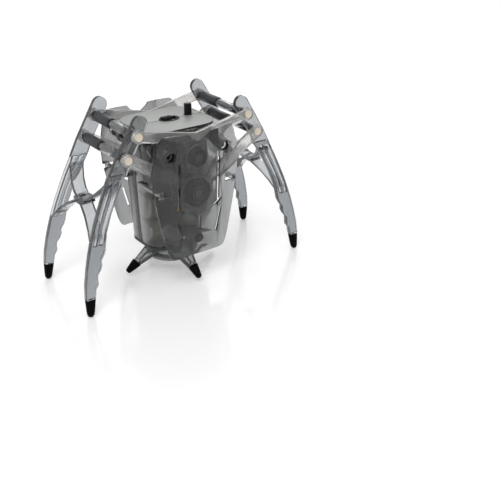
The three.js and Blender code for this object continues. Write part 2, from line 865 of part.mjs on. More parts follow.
function crankCap(size, z) {
  const journalEndY = shieldInnerY(0, z) - crank.journalGap
  return join(
    rodAlongY(size.cheekRadius, 0, z, -capOuterY, -capInnerY, bigFacets),
    rodAlongY(size.journalRadius, 0, z, -journalEndY, -capOuterY + seatGap / 3, midFacets),
  )
}

function crankSet(name, size, z) {
  const disc = crankDisc(size, z)
  const cap = crankCap(size, z)
  const seatY = cheekOuterY - crank.skin
  const seat = rodAlongY(shaftRadius + seatGap / 3, 0, z, -seatY, 0, smallFacets)
  const shaft = rodAlongY(shaftRadius, 0, z, -seatY + seatGap / 3, seatY, smallFacets)
  place(body, `front_${name}_crank`, cut(disc, seat), darkGrey)
  place(body, `rear_${name}_crankshaft`, join(mirrored(disc, acrossY), shaft), darkGrey)
  place(body, `front_${name}_crank_cap`, cap, darkGrey)
  place(body, `rear_${name}_crank_cap`, mirrored(cap, acrossY), darkGrey)
}
crankSet('drive', lowerCrank, lowerAxisZ)
crankSet('upper', upperCrank, upperAxisZ)

// Gear train inside the can
const up = Math.PI / 2
const timingPhase = up
const idlerPhase = meshPhase(timingPhase, timing.teeth, timing.idlerTeeth, up)
const upperPhase = meshPhase(idlerPhase, timing.idlerTeeth, timing.teeth, up)
const shaftBore = shaftRadius + seatGap / 3

const gearTube = rodAlongY(
  2 * shaftRadius, 0, lowerAxisZ, timingBackY - seatGap, driveFrontY + seatGap, smallFacets,
)
const driveGears = join(
  spurGearAcrossY(timing.teeth, timingModule, timingPhase, 0, 0, lowerAxisZ, timingFrontY, timingBackY),
  gearTube,
  spurGearAcrossY(driveGear.teeth, gearModule, 0, 0, 0, lowerAxisZ, driveFrontY, driveBackY),
)
place(body, 'drive_gear', cut(
  driveGears,
  rodAlongY(shaftBore, 0, lowerAxisZ, timingFrontY - cutOver, driveBackY + cutOver, midFacets),
), whiteGear)
place(body, 'upper_gear', spurGearAcrossY(
  timing.teeth, timingModule, upperPhase, shaftBore, 0, upperAxisZ, timingFrontY, timingBackY,
), whiteGear)
place(body, 'idler_gear', spurGearAcrossY(
  timing.idlerTeeth, timingModule, idlerPhase, axleRadius + runGap, 0, idlerZ, timingFrontY, timingBackY,
), whiteGear)

const driveReach = (driveGear.teeth + reduction.smallTeeth) * gearModule / 2
const reductionZ = lowerAxisZ - Math.sqrt(driveReach * driveReach - reduction.x * reduction.x)
const toReduction = Math.atan2(reductionZ - lowerAxisZ, reduction.x)
const smallPhase = meshPhase(0, driveGear.teeth, reduction.smallTeeth, toReduction)
const bigGearY = driveBackY + reduction.gapY
const bigGearBackY = bigGearY + reduction.thick
const reductionGears = join(
  spurGearAcrossY(
    reduction.smallTeeth, gearModule, smallPhase, axleRadius + runGap,
    reduction.x, reductionZ, driveFrontY, bigGearY,
  ),
  spurGearAcrossY(
    reduction.teeth, gearModule, 0, axleRadius + runGap,
    reduction.x, reductionZ, bigGearY, bigGearBackY,
  ),
)
place(body, 'reduction_gear', reductionGears, whiteGear)

const motorReach = (reduction.teeth + motorPinionTeeth) * gearModule / 2
const motorDrop = Math.sqrt(motorReach * motorReach - (reduction.x - walkMotor.x) ** 2)
const motorZ = reductionZ - motorDrop
const toMotor = Math.atan2(-motorDrop, walkMotor.x - reduction.x)
place(body, 'motor_pinion', spurGearAcrossY(
  motorPinionTeeth, gearModule, meshPhase(0, reduction.teeth, motorPinionTeeth, toMotor),
  walkMotor.shaftRadius + runGap, walkMotor.x, motorZ, bigGearY, bigGearBackY,
), brass)
const gearPlateFrontY = bigGearBackY + gearPlate.standOff
const gearPlateBackY = gearPlateFrontY + gearPlate.thick
const motorFrontY = gearPlateBackY + seatGap
place(body, 'walk_motor', join(
  rodAlongY(walkMotor.radius, walkMotor.x, motorZ, motorFrontY, boardY - walkMotor.boardGap, midFacets),
  rodAlongY(
    walkMotor.noseRadius, walkMotor.x, motorZ,
    motorFrontY - walkMotor.nose, motorFrontY + cutOver, smallFacets,
  ),
  rodAlongY(walkMotor.shaftRadius, walkMotor.x, motorZ, bigGearY, motorFrontY, smallFacets),
), steel)

// Plate inside the can that carries the gear axles
place(body, 'gear_plate', cut(
  join(
    box(
      gearPlate.leftX, gearPlate.rightX,
      gearPlateFrontY, gearPlateBackY, gearPlate.lowZ, gearPlate.highZ,
    ),
    rodAlongY(axleRadius, reduction.x, reductionZ, driveFrontY, gearPlateFrontY + seatGap, smallFacets),
    rodAlongY(
      2 * axleRadius, reduction.x, reductionZ,
      bigGearBackY + seatGap, gearPlateFrontY + seatGap, smallFacets,
    ),
  ),
  rodAlongY(shaftRadius + runGap, 0, lowerAxisZ, gearPlateFrontY - cutOver, cutOver, smallFacets),
  rodAlongY(shaftRadius + runGap, 0, upperAxisZ, gearPlateFrontY - cutOver, cutOver, smallFacets),
  rodAlongY(
    walkMotor.noseRadius + seatGap, walkMotor.x, motorZ,
    gearPlateFrontY - cutOver, cutOver, smallFacets,
  ),
), darkGrey)

// Cells, board, switch and receiver
function buttonCell(z) {
  const top = cell.x + cell.thick
  return join(
    rodAlongX(cell.radius, 0, z, cell.x + cell.rimHeight, top, bigFacets),
    rodAlongX(cell.radius - cell.rim, 0, z, cell.x, cell.x + cell.rimHeight + seatGap / 3, bigFacets),
  )
}
const cellPitch = 2 * cell.radius + seatGap
const cellNames = ['lower', 'middle', 'upper']
cellNames.forEach((name, i) => {
  place(body, `${name}_button_cell`, buttonCell(cellLowZ + i * cellPitch), steel)
})

const boardBackY = boardY + board.thick
const boardHole = (x, z, radius) => rodAlongY(
  radius, x, z, boardY - cutOver, boardBackY + cutOver, midFacets,
)
place(body, 'circuit_board', cut(
  box(-board.halfWidth, board.halfWidth, boardY, boardY + board.thick, board.lowZ, board.highZ),
  boardHole(0, lowerAxisZ, board.shaftHole),
  boardHole(0, upperAxisZ, board.shaftHole),
), greenBoard)

const powerTopZ = lidTopZ - housing.roofThick - seatGap
const knobFinCount = 3
const knobWaistShare = 0.6

// Slide with its knob at the off end of the slot: ribs on top, and a flange that stays under the roof
function switchKnob() {
  const low = powerTopZ - power.flange
  const x0 = power.x - (power.knobLength + power.travel) / 2
  const x1 = x0 + power.knobLength
  const half = power.knobWidth / 2
  const top = lidTopZ + power.knobHeight
  const stem = box(x0, x1, -half, half, low, top)
  const fin = (x1 - x0) / (2 * knobFinCount - 1)
  const cuts = Array.from({ length: knobFinCount - 1 }, (_, i) => box(
    x0 + (2 * i + 1) * fin, x0 + (2 * i + 2) * fin, -power.knobWidth, power.knobWidth,
    lidTopZ + power.knobHeight * knobWaistShare, top + cutOver,
  ))
  const slide = box(
    x0 - power.flange, x1 + power.flange, -slotHalfWidth - power.flange, slotHalfWidth + power.flange,
    low, powerTopZ,
  )
  return cut(join(slide, stem), ...cuts)
}
place(body, 'power_switch_knob', switchKnob(), blackPlastic)

function infraredReceiver() {
  const x0 = receiverX - receiver.width / 2
  const x1 = receiverX + receiver.width / 2
  const y0 = receiver.y - receiver.depth / 2
  const y1 = receiver.y + receiver.depth / 2
  const low = lidTopZ - receiver.hole
  return join(
    box(x0, x1, y0, y1, low, lidTopZ + receiver.height),
    box(x0 - seatGap - receiver.lens, x1 + seatGap + receiver.lens, y0, y1, low, low + receiver.lens),
  )
}
place(body, 'ir_receiver', infraredReceiver(), blackPlastic)

// Leg frames
const legEdge = smooth(legEdgeShares.map(([x, z]) => [x * leg.footSpan, z * leg.height]), 16)
const legWidths = legWidthShares.map(([w, z]) => [2 * leg.topRadius * w, z * leg.height])

function legOuterX(z) {
  return atHeight(legEdge, z)
}

function legWidth(z) {
  const plain = atHeight(legWidths, z)
  const below = leg.clawZ - z
  if (below <= 0 || z < leg.clawEndZ + leg.scallopPitch / 2) {
    return plain
  }
  return plain + leg.scallop * Math.cos(2 * Math.PI * below / leg.scallopPitch)
}

function heights(low, high, count) {
  return Array.from({ length: count + 1 }, (_, i) => low + (high - low) * i / count)
}

const limbSteps = 8
const clawSteps = 10

function limbOutline() {
  const outer = heights(leg.clawEndZ, stepZ, limbSteps).map((z) => [legOuterX(z), z])
  const mid = heights(leg.clawZ, stepZ, limbSteps / 2).slice(1).map((z) => [legOuterX(z) - legWidth(z), z])
  const claw = heights(leg.clawEndZ, leg.clawZ, clawSteps).map((z) => [legOuterX(z) - legWidth(z), z])
  return shapeOf([...outer, ...[...claw, ...mid].reverse()])
}

function limbGroove(fromShare, toShare) {
  const rows = heights(leg.clawZ + 2.6 * leg.rim, stepZ - leg.rim, limbSteps / 2)
  const near = rows.map((z) => [legOuterX(z) - fromShare * legWidth(z), z])
  const far = rows.map((z) => [legOuterX(z) - toShare * legWidth(z), z])
  const outline = shapeOf([...near, ...far.reverse()])
  return plateAcrossY(outline, -legOuterY - cutOver, -legOuterY + leg.grooveDepth)
}

// Legs lean out in Y below the step and get thinner towards the claw
function limbLean(p) {
  const drop = (stepZ - p.z) / stepZ
  const middle = -legOuterY + leg.depth / 2
  const thin = 1 - (1 - clawDepthShare) * drop
  p.y = middle - leg.splay * drop + (p.y - middle) * thin
}

function frontLimb() {
  const blank = plateAcrossY(limbOutline(), -legOuterY, -legOuterY + leg.depth)
  const grooved = cut(blank, ...grooveShares.map(([a, b]) => limbGroove(a, b)))
  return bend(grooved, limbLean)
}

// Flat top plate of a leg: its outer side runs beside the line of the two hubs, to a round end
const hubRun = new THREE.Vector2(leg.lowerHubX - leg.upperHubX, leg.lowerHubZ - leg.upperHubZ).normalize()
const hubOut = new THREE.Vector2(-hubRun.y, hubRun.x)
const topZ = leg.height - leg.topRadius
const plateShift = leg.outerMargin - leg.topRadius
const lowerHubLegZ = leg.lowerHubZ + bodyLift

function topPlateAxisX(z) {
  const rise = z - lowerHubLegZ - plateShift * hubOut.y
  return leg.lowerHubX + plateShift * hubOut.x + rise * hubRun.x / hubRun.y
}

function frontTopPlate() {
  const axisX = topPlateAxisX(lowerHubLegZ)
  const side = leg.topRadius / hubOut.x
  const end = hubOut.angle()
  const shape = new THREE.Shape()
  shape.moveTo(legOuterX(stepZ) - legWidth(stepZ) - leg.stepLip, stepZ - leg.stepLip)
  shape.lineTo(legOuterX(stepZ) + leg.stepLip, stepZ - leg.stepLip)
  shape.lineTo(axisX + side, lowerHubLegZ)
  shape.absarc(topPlateAxisX(topZ), topZ, leg.topRadius, end, end + Math.PI)
  shape.lineTo(axisX - side, lowerHubLegZ)
  return plateAcrossY(shape, -legOuterY, -legOuterY + leg.plateThick, endFacets)
}

const tubePlaces = [
  { name: 'upper', x: leg.upperHubX, z: leg.upperHubZ },
  { name: 'lower', x: leg.lowerHubX, z: leg.lowerHubZ },
]

const ribSteps = 10

function sideRib() {
  const line = smooth(ribShares.map(([y, z]) => [y * legOuterY, z * leg.height]), ribSteps)
  const outline = strip(line.map(([y, z]) => new THREE.Vector2(y, z)), leg.ribThick)
  return plateAcrossX(outline, 0, leg.depth)
}

function bridge() {
  const shape = new THREE.Shape()
  shape.absellipse(0, crossShare * leg.height, leg.bridgeHalfLength, leg.bridgeHalfHeight, 0, 2 * Math.PI)
  return plateAcrossX(shape, 0, leg.depth, smallFacets / 2)
}

// Ribs follow the sweep of the legs, a little narrower than they are
const ribEdgeShare = 0.06

function ribSweep(p) {
  const inward = ribEdgeShare + (1 - 2 * ribEdgeShare) * (1 - p.x / leg.depth)
  p.x = legOuterX(p.z) - inward * legWidth(p.z)
}

function tipPeg() {
  const z0 = leg.clawEndZ - leg.pegLength
  const x = legOuterX(leg.clawEndZ) - legWidth(leg.clawEndZ) / 2
  const peg = rodAlongZ(leg.pegRadius, x, -legOuterY + leg.depth / 2, z0, leg.clawEndZ + cutOver, smallFacets)
  return bend(peg, (p) => {
    const drop = (stepZ - p.z) / stepZ
    p.y -= leg.splay * drop
  })
}

function legFrame() {
  const frontLeg = join(frontTopPlate(), frontLimb(), tipPeg())
  const drilled = cut(frontLeg, ...tubePlaces.map((t) => rodAlongY(
    tube.rodRadius + runGap, t.x, t.z + bodyLift, -legOuterY - cutOver, 0, smallFacets,
  )))
  const rib = sideRib()
  const web = bend(join(rib, mirrored(rib, acrossY), bridge()), ribSweep)
  return join(drilled, mirrored(drilled, acrossY), web)
}

const rightFrame = legFrame()
place(walkingFrame, 'right_leg_frame', rightFrame, smokyLeg)
place(walkingFrame, 'left_leg_frame', mirrored(rightFrame, acrossX), smokyLeg)

// Cross tubes, rods and their heads
const tubeEndY = legOuterY - leg.plateThick - seatGap
const sleeveStartY = tubeEndY * (1 - 2 * sleeveShare)
const rodEndY = linkInnerY + 2 * seatGap
const sides = [['right', 1], ['left', -1]]
sides.forEach(([sideName, side]) => {
  tubePlaces.forEach((t) => {
    const backY = sleeveStartY - seatGap
    const outer = rodAlongY(tube.radius, side * t.x, t.z, -tubeEndY, backY, midFacets)
    const bore = rodAlongY(tube.bore, side * t.x, t.z, -tubeEndY - cutOver, backY + cutOver, midFacets)
    place(linkage, `${sideName}_${t.name}_tube`, cut(outer, bore), smokyLeg)
  })
})
const pinPlaces = sides.flatMap(([sideName, side]) => tubePlaces.map((t) => ({
  name: `${sideName}_${t.name}`, x: side * t.x, z: t.z,
})))
pinPlaces.forEach((p) => {
  const head = rodAlongY(
    tube.headRadius, p.x, p.z, -linkOuterY - tube.headProud, -linkInnerY - seatGap, midFacets,
  )
  const rod = rodAlongY(tube.rodRadius, p.x, p.z, -rodEndY, rodEndY, smallFacets)
  const sleeve = rodAlongY(tube.sleeveRadius, p.x, p.z, sleeveStartY, tubeEndY, midFacets)
  place(linkage, `${p.name}_pin`, join(rod, sleeve, head, mirrored(head, acrossY)), creamHead)
})

// Clear beams and links between the two leg frames
function linkHoles() {
  const pins = pinPlaces.map((p) => rodAlongY(
    tube.headRadius + runGap, p.x, p.z, -linkOuterY - cutOver, -linkInnerY + cutOver, midFacets,
  ))
  const cranks = [[lowerAxisZ, lowerCrank], [upperAxisZ, upperCrank]].map(([z, size]) => rodAlongY(
    size.pinRadius + runGap, 0, z, -linkOuterY - cutOver, -linkInnerY + cutOver, midFacets,
  ))
  return [...pins, ...cranks]
}

function linkSolid(shape) {
  return plateAcrossY(shape, -linkOuterY, -linkInnerY, cornerFacets)
}

const hubDisc = (x, z, radius) => rodAlongY(radius, x, z, -linkOuterY, -linkInnerY, bigFacets)
const beamShares = { midTop: 0.75, shoulderX: 0.5, shoulderLow: 0.6, dipX: 0.3, dipLow: 0.48 }

function lowerLink() {
  const arm = (side) => linkSolid(tangentStrip(
    0, lowerAxisZ, link.width / 2, side * leg.lowerHubX, leg.lowerHubZ, link.width / 2,
  ))
  const recess = (side) => {
    const run = new THREE.Vector2(side * leg.lowerHubX, leg.lowerHubZ - lowerAxisZ)
    const length = run.length()
    run.normalize()
    const from = (lowerCrank.hubRadius + link.rimWidth)
    const to = length - link.hubRadius - link.rimWidth
    const line = [from, to].map((d) => new THREE.Vector2(run.x * d, lowerAxisZ + run.y * d))
    const face = -linkOuterY
    return plateAcrossY(strip(line, link.width - 2 * link.rimWidth), face - cutOver, face + link.recess)
  }
  return cut(
    join(
      arm(1), arm(-1),
      hubDisc(leg.lowerHubX, leg.lowerHubZ, link.hubRadius),
      hubDisc(-leg.lowerHubX, leg.lowerHubZ, link.hubRadius),
      hubDisc(0, lowerAxisZ, lowerCrank.hubRadius),
    ),
    recess(1), recess(-1),
    ...linkHoles(),
  )
}

function upperBeam() {
  const hubX = leg.upperHubX
  const hubZ = leg.upperHubZ
  const half = link.beamDepth / 2
  const rise = hubZ - upperAxisZ
  const midTop = upperAxisZ + rise * beamShares.midTop
  const shoulderX = hubX * beamShares.shoulderX
  const low = upperAxisZ + rise * beamShares.shoulderLow
  const dipX = hubX * beamShares.dipX
  const dip = upperAxisZ + rise * beamShares.dipLow
  const outline = [
    [-hubX, hubZ + half],
    [-hubX, hubZ - half],
    [-shoulderX, low],
    [-dipX, dip],
    [-upperCrank.hubRadius, upperAxisZ],
    [upperCrank.hubRadius, upperAxisZ],
    [dipX, dip],
    [shoulderX, low],
    [hubX, hubZ - half],
    [hubX, hubZ + half],
    [0, midTop],
  ]
  return cut(
    join(
      linkSolid(shapeOf(outline)),
      hubDisc(hubX, hubZ, link.hubRadius),
      hubDisc(-hubX, hubZ, link.hubRadius),
      hubDisc(0, upperAxisZ, upperCrank.hubRadius),
    ),
    ...linkHoles(),
  )
}

const frontBeam = upperBeam()
const frontLink = lowerLink()
place(linkage, 'front_upper_beam', frontBeam, clearLink)
place(linkage, 'rear_upper_beam', mirrored(frontBeam, acrossY), clearLink)
place(linkage, 'front_lower_link', frontLink, clearLink)
place(linkage, 'rear_lower_link', mirrored(frontLink, acrossY), clearLink)

// Rubber tips of the outer legs
const tipTopZ = leg.clawEndZ - seatGap

function frontRightTip() {
  const profile = [
    [0, 0],
    [legTip.endRadius, 0],
    [legTip.midRadius - seatGap / 2, legTip.endRadius],
    [legTip.midRadius, legTip.midZ],
    [legTip.topRadius, tipTopZ],
    [0, tipTopZ],
  ]
  const x = legOuterX(leg.clawEndZ) - legWidth(leg.clawEndZ) / 2
  const holeLowZ = tipTopZ - leg.pegLength
  const hole = rodAlongZ(leg.pegRadius + seatGap, 0, 0, holeLowZ, tipTopZ + cutOver, smallFacets)
  const lean = (leg.footSpan - x) / tipTopZ
  return bend(cut(latheAlongZ(profile, midFacets), hole), (p) => {
    const drop = (stepZ - p.z) / stepZ
    p.x += x + lean * (tipTopZ - p.z)
    p.y += -legOuterY + leg.depth / 2 - leg.splay * drop
  })
}
const rightTip = frontRightTip()
const leftTip = mirrored(rightTip, acrossX)
place(walkingFrame, 'front_right_tip', rightTip, blackRubber)
place(walkingFrame, 'rear_right_tip', mirrored(rightTip, acrossY), blackRubber)
place(walkingFrame, 'front_left_tip', leftTip, blackRubber)
place(walkingFrame, 'rear_left_tip', mirrored(leftTip, acrossY), blackRubber)

// Steering base
const baseGearLowZ = plateTopZ + seatGap
const baseTopZ = plateLowZ - base.topGap
const baseGearTopZ = baseGearLowZ + base.gearThick
const rimTopZ = base.rimLowZ + base.rimHeight
const baseChamfer = 0.6

function baseProfile(grow) {
  return [
    [0, base.rimLowZ - grow],
    [base.rimRadius - baseChamfer, base.rimLowZ - grow],
    [base.rimRadius + grow, base.rimLowZ + baseChamfer],
    [base.rimRadius + grow, rimTopZ + grow],
    [base.neckRadius + grow, rimTopZ + baseChamfer + grow],
    [base.neckRadius + grow, baseTopZ + grow],
    [base.hubRadius, baseTopZ + grow],
    [base.hubRadius, baseGearTopZ],
    [0, baseGearTopZ],
  ]
}
place(turntable, 'turntable', latheAlongZ(baseProfile(0), bigFacets), smokyHousing)

const steerGearShape = gearShape(steerTeeth, gearModule, 0, base.hubRadius + runGap)
place(turntable, 'steering_gear', plateAcrossZ(steerGearShape, baseGearLowZ, baseGearTopZ), whiteGear)

// Four short feet: webbed arms with rubber tips, a quarter turn apart
const footSlope = (foot.tipZ - foot.rootZ) / (foot.tipR - foot.rootR)

function footArm() {
  const taper = (foot.tipHalf - foot.rootHalf) / (foot.tipR - foot.rootR)
  const width = (r) => foot.rootHalf + taper * (r - foot.rootR)
  const outline = shapeOf([
    [foot.rootR, -foot.rootHalf],
    [foot.tipR, -foot.tipHalf],
    [foot.tipR, foot.tipHalf],
    [foot.rootR, foot.rootHalf],
  ])
  const blank = plateAcrossZ(outline, foot.rootZ - foot.thick, foot.rootZ)
  const r0 = foot.rootR + foot.rim * 3
  const r1 = foot.tipR - foot.rim * 2
  const pocket = (side) => {
    const points = [
      [r0, side * foot.rib / 2],
      [r1, side * foot.rib / 2],
      [r1, side * Math.max(width(r1) - foot.rim, foot.rib)],
      [r0, side * (width(r0) - foot.rim)],
    ]
    const ordered = side > 0 ? points : points.reverse()
    return plateAcrossZ(shapeOf(ordered), foot.rootZ - foot.pocket, foot.rootZ + cutOver)
  }
  const sloped = bend(cut(blank, pocket(1), pocket(-1)), (p) => {
    p.z += footSlope * (p.x - foot.rootR)
  })
  return cut(sloped, latheAlongZ(baseProfile(seatGap), bigFacets))
}

function footRubber() {
  const profile = [
    [0, 0],
    [footTip.endRadius * 2 / 3, 0],
    [footTip.endRadius, footTip.endRadius / 2],
    [footTip.rootRadius, footTip.length],
    [0, footTip.length],
  ]
  const points = profile.map(([r, z]) => new THREE.Vector2(r, z))
  const slope = THREE.MathUtils.degToRad(footTip.slopeDeg)
  const geometry = new THREE.LatheGeometry(points, midFacets)
  geometry.rotateX(Math.PI / 2)
  geometry.rotateY(slope - Math.PI / 2)
  geometry.translate(footReach, 0, foot.lift + footTip.endRadius * Math.cos(slope))
  const arm = bend(
    box(
      0, foot.tipR + seatGap, -foot.rootHalf, foot.rootHalf,
      foot.rootZ - foot.thick - seatGap, foot.rootZ + foot.thick,
    ),
    (p) => {
      p.z += footSlope * (p.x - foot.rootR)
    },
  )
  return cut(toSolid(geometry), arm)
}

const armSolid = footArm()
const rubberSolid = footRubber()
const footNames = ['right', 'rear', 'left', 'front']
footNames.forEach((name, i) => {
  const turn = i * Math.PI / 2
  place(turntable, `${name}_centre_foot`, armSolid, darkGrey).rotation.z = turn
  place(turntable, `${name}_centre_tip`, rubberSolid, blackRubber).rotation.z = turn
})

// Steering motor and its pinion
const steerReach = (steerTeeth + steerPinionTeeth) * gearModule / 2
const steerY = gearPlateBackY + steerMotor.plateGap + steerMotor.radius
const steerRise = steerY - base.y
const steerX = Math.sqrt(steerReach * steerReach - steerRise * steerRise)
const toPinion = Math.atan2(steerRise, steerX)
const pinionTopZ = baseGearTopZ
const steerPinion = gearShape(
  steerPinionTeeth, gearModule, meshPhase(0, steerTeeth, steerPinionTeeth, toPinion),
  walkMotor.shaftRadius + runGap,
)
const pinionSolid = bend(plateAcrossZ(steerPinion, baseGearLowZ, pinionTopZ, smallFacets / 2), (p) => {
  p.x += steerX
  p.y += steerY
})
place(body, 'steering_pinion', pinionSolid, brass)
const steerMotorLowZ = pinionTopZ + screw.headHeight + 2 * seatGap
place(body, 'steering_motor', join(
  rodAlongZ(
    steerMotor.radius, steerX, steerY,
    steerMotorLowZ, steerMotorLowZ + steerMotor.height, midFacets,
  ),
  rodAlongZ(walkMotor.shaftRadius, steerX, steerY, baseGearLowZ, steerMotorLowZ + seatGap, smallFacets),
), steel)

export default robot
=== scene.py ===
# %% [markdown]
# A small walking spider robot in smoky see-through plastic, dressed for its portrait.
# The solids and their joints come from the CAD model. This file gives them finishes, rounds off
# what is too sharp, and adds the small things that a mould leaves on such a toy.

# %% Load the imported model
import json
import math

import bpy
from mathutils import Matrix, Vector


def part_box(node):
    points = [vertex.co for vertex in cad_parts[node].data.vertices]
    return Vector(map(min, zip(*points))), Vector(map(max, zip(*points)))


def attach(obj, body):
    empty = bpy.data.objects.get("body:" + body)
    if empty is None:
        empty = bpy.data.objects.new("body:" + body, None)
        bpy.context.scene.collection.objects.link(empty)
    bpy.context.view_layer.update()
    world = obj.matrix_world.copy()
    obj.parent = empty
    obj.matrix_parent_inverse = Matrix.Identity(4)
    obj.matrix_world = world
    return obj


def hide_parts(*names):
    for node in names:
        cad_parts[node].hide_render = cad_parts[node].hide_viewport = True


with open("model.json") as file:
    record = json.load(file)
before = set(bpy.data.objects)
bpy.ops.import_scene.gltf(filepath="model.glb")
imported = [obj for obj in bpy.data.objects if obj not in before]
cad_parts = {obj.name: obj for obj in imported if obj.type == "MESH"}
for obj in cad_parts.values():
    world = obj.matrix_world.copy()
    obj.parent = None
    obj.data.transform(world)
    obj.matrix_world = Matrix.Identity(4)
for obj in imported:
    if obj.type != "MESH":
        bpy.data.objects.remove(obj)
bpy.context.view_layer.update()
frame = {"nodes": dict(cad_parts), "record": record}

nodes = frame["nodes"]
print("nodes from the CAD model:", len(nodes))

# %% [markdown]
# The camera stands where the photographer stood: to the left of the front, a little above.
# Its place was worked out from the feet, the hubs and the lid. It could be a bare place and turn,
# but an angle round the robot, a tilt, a slight roll, a distance and how far the robot lies from
# the middle of the picture can be read and changed one by one.

# %% Camera
MM = 0.001
view_azimuth = math.radians(-37.3)
view_tilt = math.radians(26.57)
view_roll = math.radians(0.51)
view_distance = 380.35 * MM
aim_shift = (-34.93 * MM, -5.55 * MM)
focal_over_width = 805.53 / 500

back = Vector((
    math.sin(view_azimuth) * math.cos(view_tilt),
    -math.cos(view_azimuth) * math.cos(view_tilt),
    math.sin(view_tilt),
))
right = Vector((0, 0, 1)).cross(back).normalized()
up = back.cross(right)
rolled_right = right * math.cos(view_roll) + up * math.sin(view_roll)
rolled_up = up * math.cos(view_roll) - right * math.sin(view_roll)
eye = rolled_right * -aim_shift[0] + rolled_up * -aim_shift[1] + back * view_distance

sensor_width = 36
camera_data = bpy.data.cameras.new("portrait_camera")
camera_data.sensor_width = sensor_width
camera_data.lens = sensor_width * focal_over_width
camera = bpy.data.objects.new("portrait_camera", camera_data)
bpy.context.scene.collection.objects.link(camera)
turn = Matrix((rolled_right, rolled_up, back)).transposed().to_4x4()
camera.matrix_world = Matrix.Translation(eye) @ turn
bpy.context.scene.camera = camera
print("camera at", [round(v, 3) for v in eye], "lens", round(camera_data.lens, 1))

# %% [markdown]
# A toy like this is photographed on a glossy white sweep. Small lamps would make hard shadows, so
# one big soft lamp above and to the left makes the long highlights on the legs, a weaker one behind
# opens the shadows, and the white room fills in the rest.

# %% Lamps
def soft_lamp(name, place, aim, size, power):
    data = bpy.data.lights.new(name, "AREA")
    data.shape = "SQUARE"
    data.size = size
    data.energy = power
    lamp = bpy.data.objects.new(name, data)
    bpy.context.scene.collection.objects.link(lamp)
    lamp.location = place
    lamp.rotation_euler = (Vector(aim) - Vector(place)).to_track_quat("-Z", "Y").to_euler()


soft_lamp("key_softbox", (-0.35, -0.30, 0.62), aim=(0, 0, 0.03), size=0.35, power=1.9)
soft_lamp("back_softbox", (0.30, 0.42, 0.50), aim=(0, 0, 0.04), size=0.30, power=0.9)
print("lamps:", [data.name for data in bpy.data.lights])

# %% [markdown]
# The room is white too. More light from it would bleach the robot, so it lights less than it shows:
# what is seen directly, mirrored on a shine or through a plastic wall is the full white, and only
# the light itself is lower. The Light Path node tells these rays apart.

# %% White room and floor
def by_ray(tree, for_light, for_sight):
    """One value for lighting, and another where it is seen, mirrored or looked through."""
    ray = tree.nodes.new("ShaderNodeLightPath")
    seen = ray.outputs["Is Camera Ray"]
    for kind in ("Is Glossy Ray", "Is Transmission Ray"):
        either = tree.nodes.new("ShaderNodeMath")
        either.operation = "MAXIMUM"
        tree.links.new(seen, either.inputs[0])
        tree.links.new(ray.outputs[kind], either.inputs[1])
        seen = either.outputs[0]
    level = tree.nodes.new("ShaderNodeMix")
    level.data_type = "FLOAT"
    level.inputs["A"].default_value = for_light
    level.inputs["B"].default_value = for_sight
    tree.links.new(seen, level.inputs["Factor"])
    return level.outputs["Result"]


room_light, room_white = 0.55, 1.0
world = bpy.data.worlds.new("white_studio")
bpy.context.scene.world = world
world.use_nodes = True
background = world.node_tree.nodes["Background"]
background.inputs["Color"].default_value = (1, 1, 1, 1)
room_level = by_ray(world.node_tree, room_light, room_white)
world.node_tree.links.new(room_level, background.inputs["Strength"])

floor_size, floor_gap = 6, 0.0002
bpy.ops.mesh.primitive_plane_add(size=floor_size, location=(0, 0, -floor_gap))
floor = bpy.context.object
floor.name = "white_floor"

bpy.context.scene.view_settings.view_transform = "Standard"
print("a white room and a floor", floor_size, "m across")

# %% [markdown]
# Materials. Smoky plastic is clear plastic with a little soot in it: its faces are pale where the
# wall is thin, and its edges go almost black, because there one looks along the wall. An absorbing
# volume does just that, since it darkens by the length of the way through, so each see-through
# plastic is glass on its surface with such a volume inside. The solids are closed, which it needs.

# %% Helpers for node materials
def new_material(name):
    material = bpy.data.materials.new(name)
    material.use_nodes = True
    tree = material.node_tree
    shader = tree.nodes["Principled BSDF"]
    return material, tree, shader


# %% [markdown]
# Moulded plastic is never quite even: its tint drifts a little, its shine drifts with it, and its
# skin has a fine grain. The nodes for that could be repeated in each material, but all finishes
# share them, so they are a node group, built once, with sockets for how strong and how large the
# drift is. It puts out only values, and each material keeps a shader of its own.

# %% Shader node group: uneven tint of moulded plastic
noise_middle = 0.5
rough_low, rough_high = 0.8, 1.2


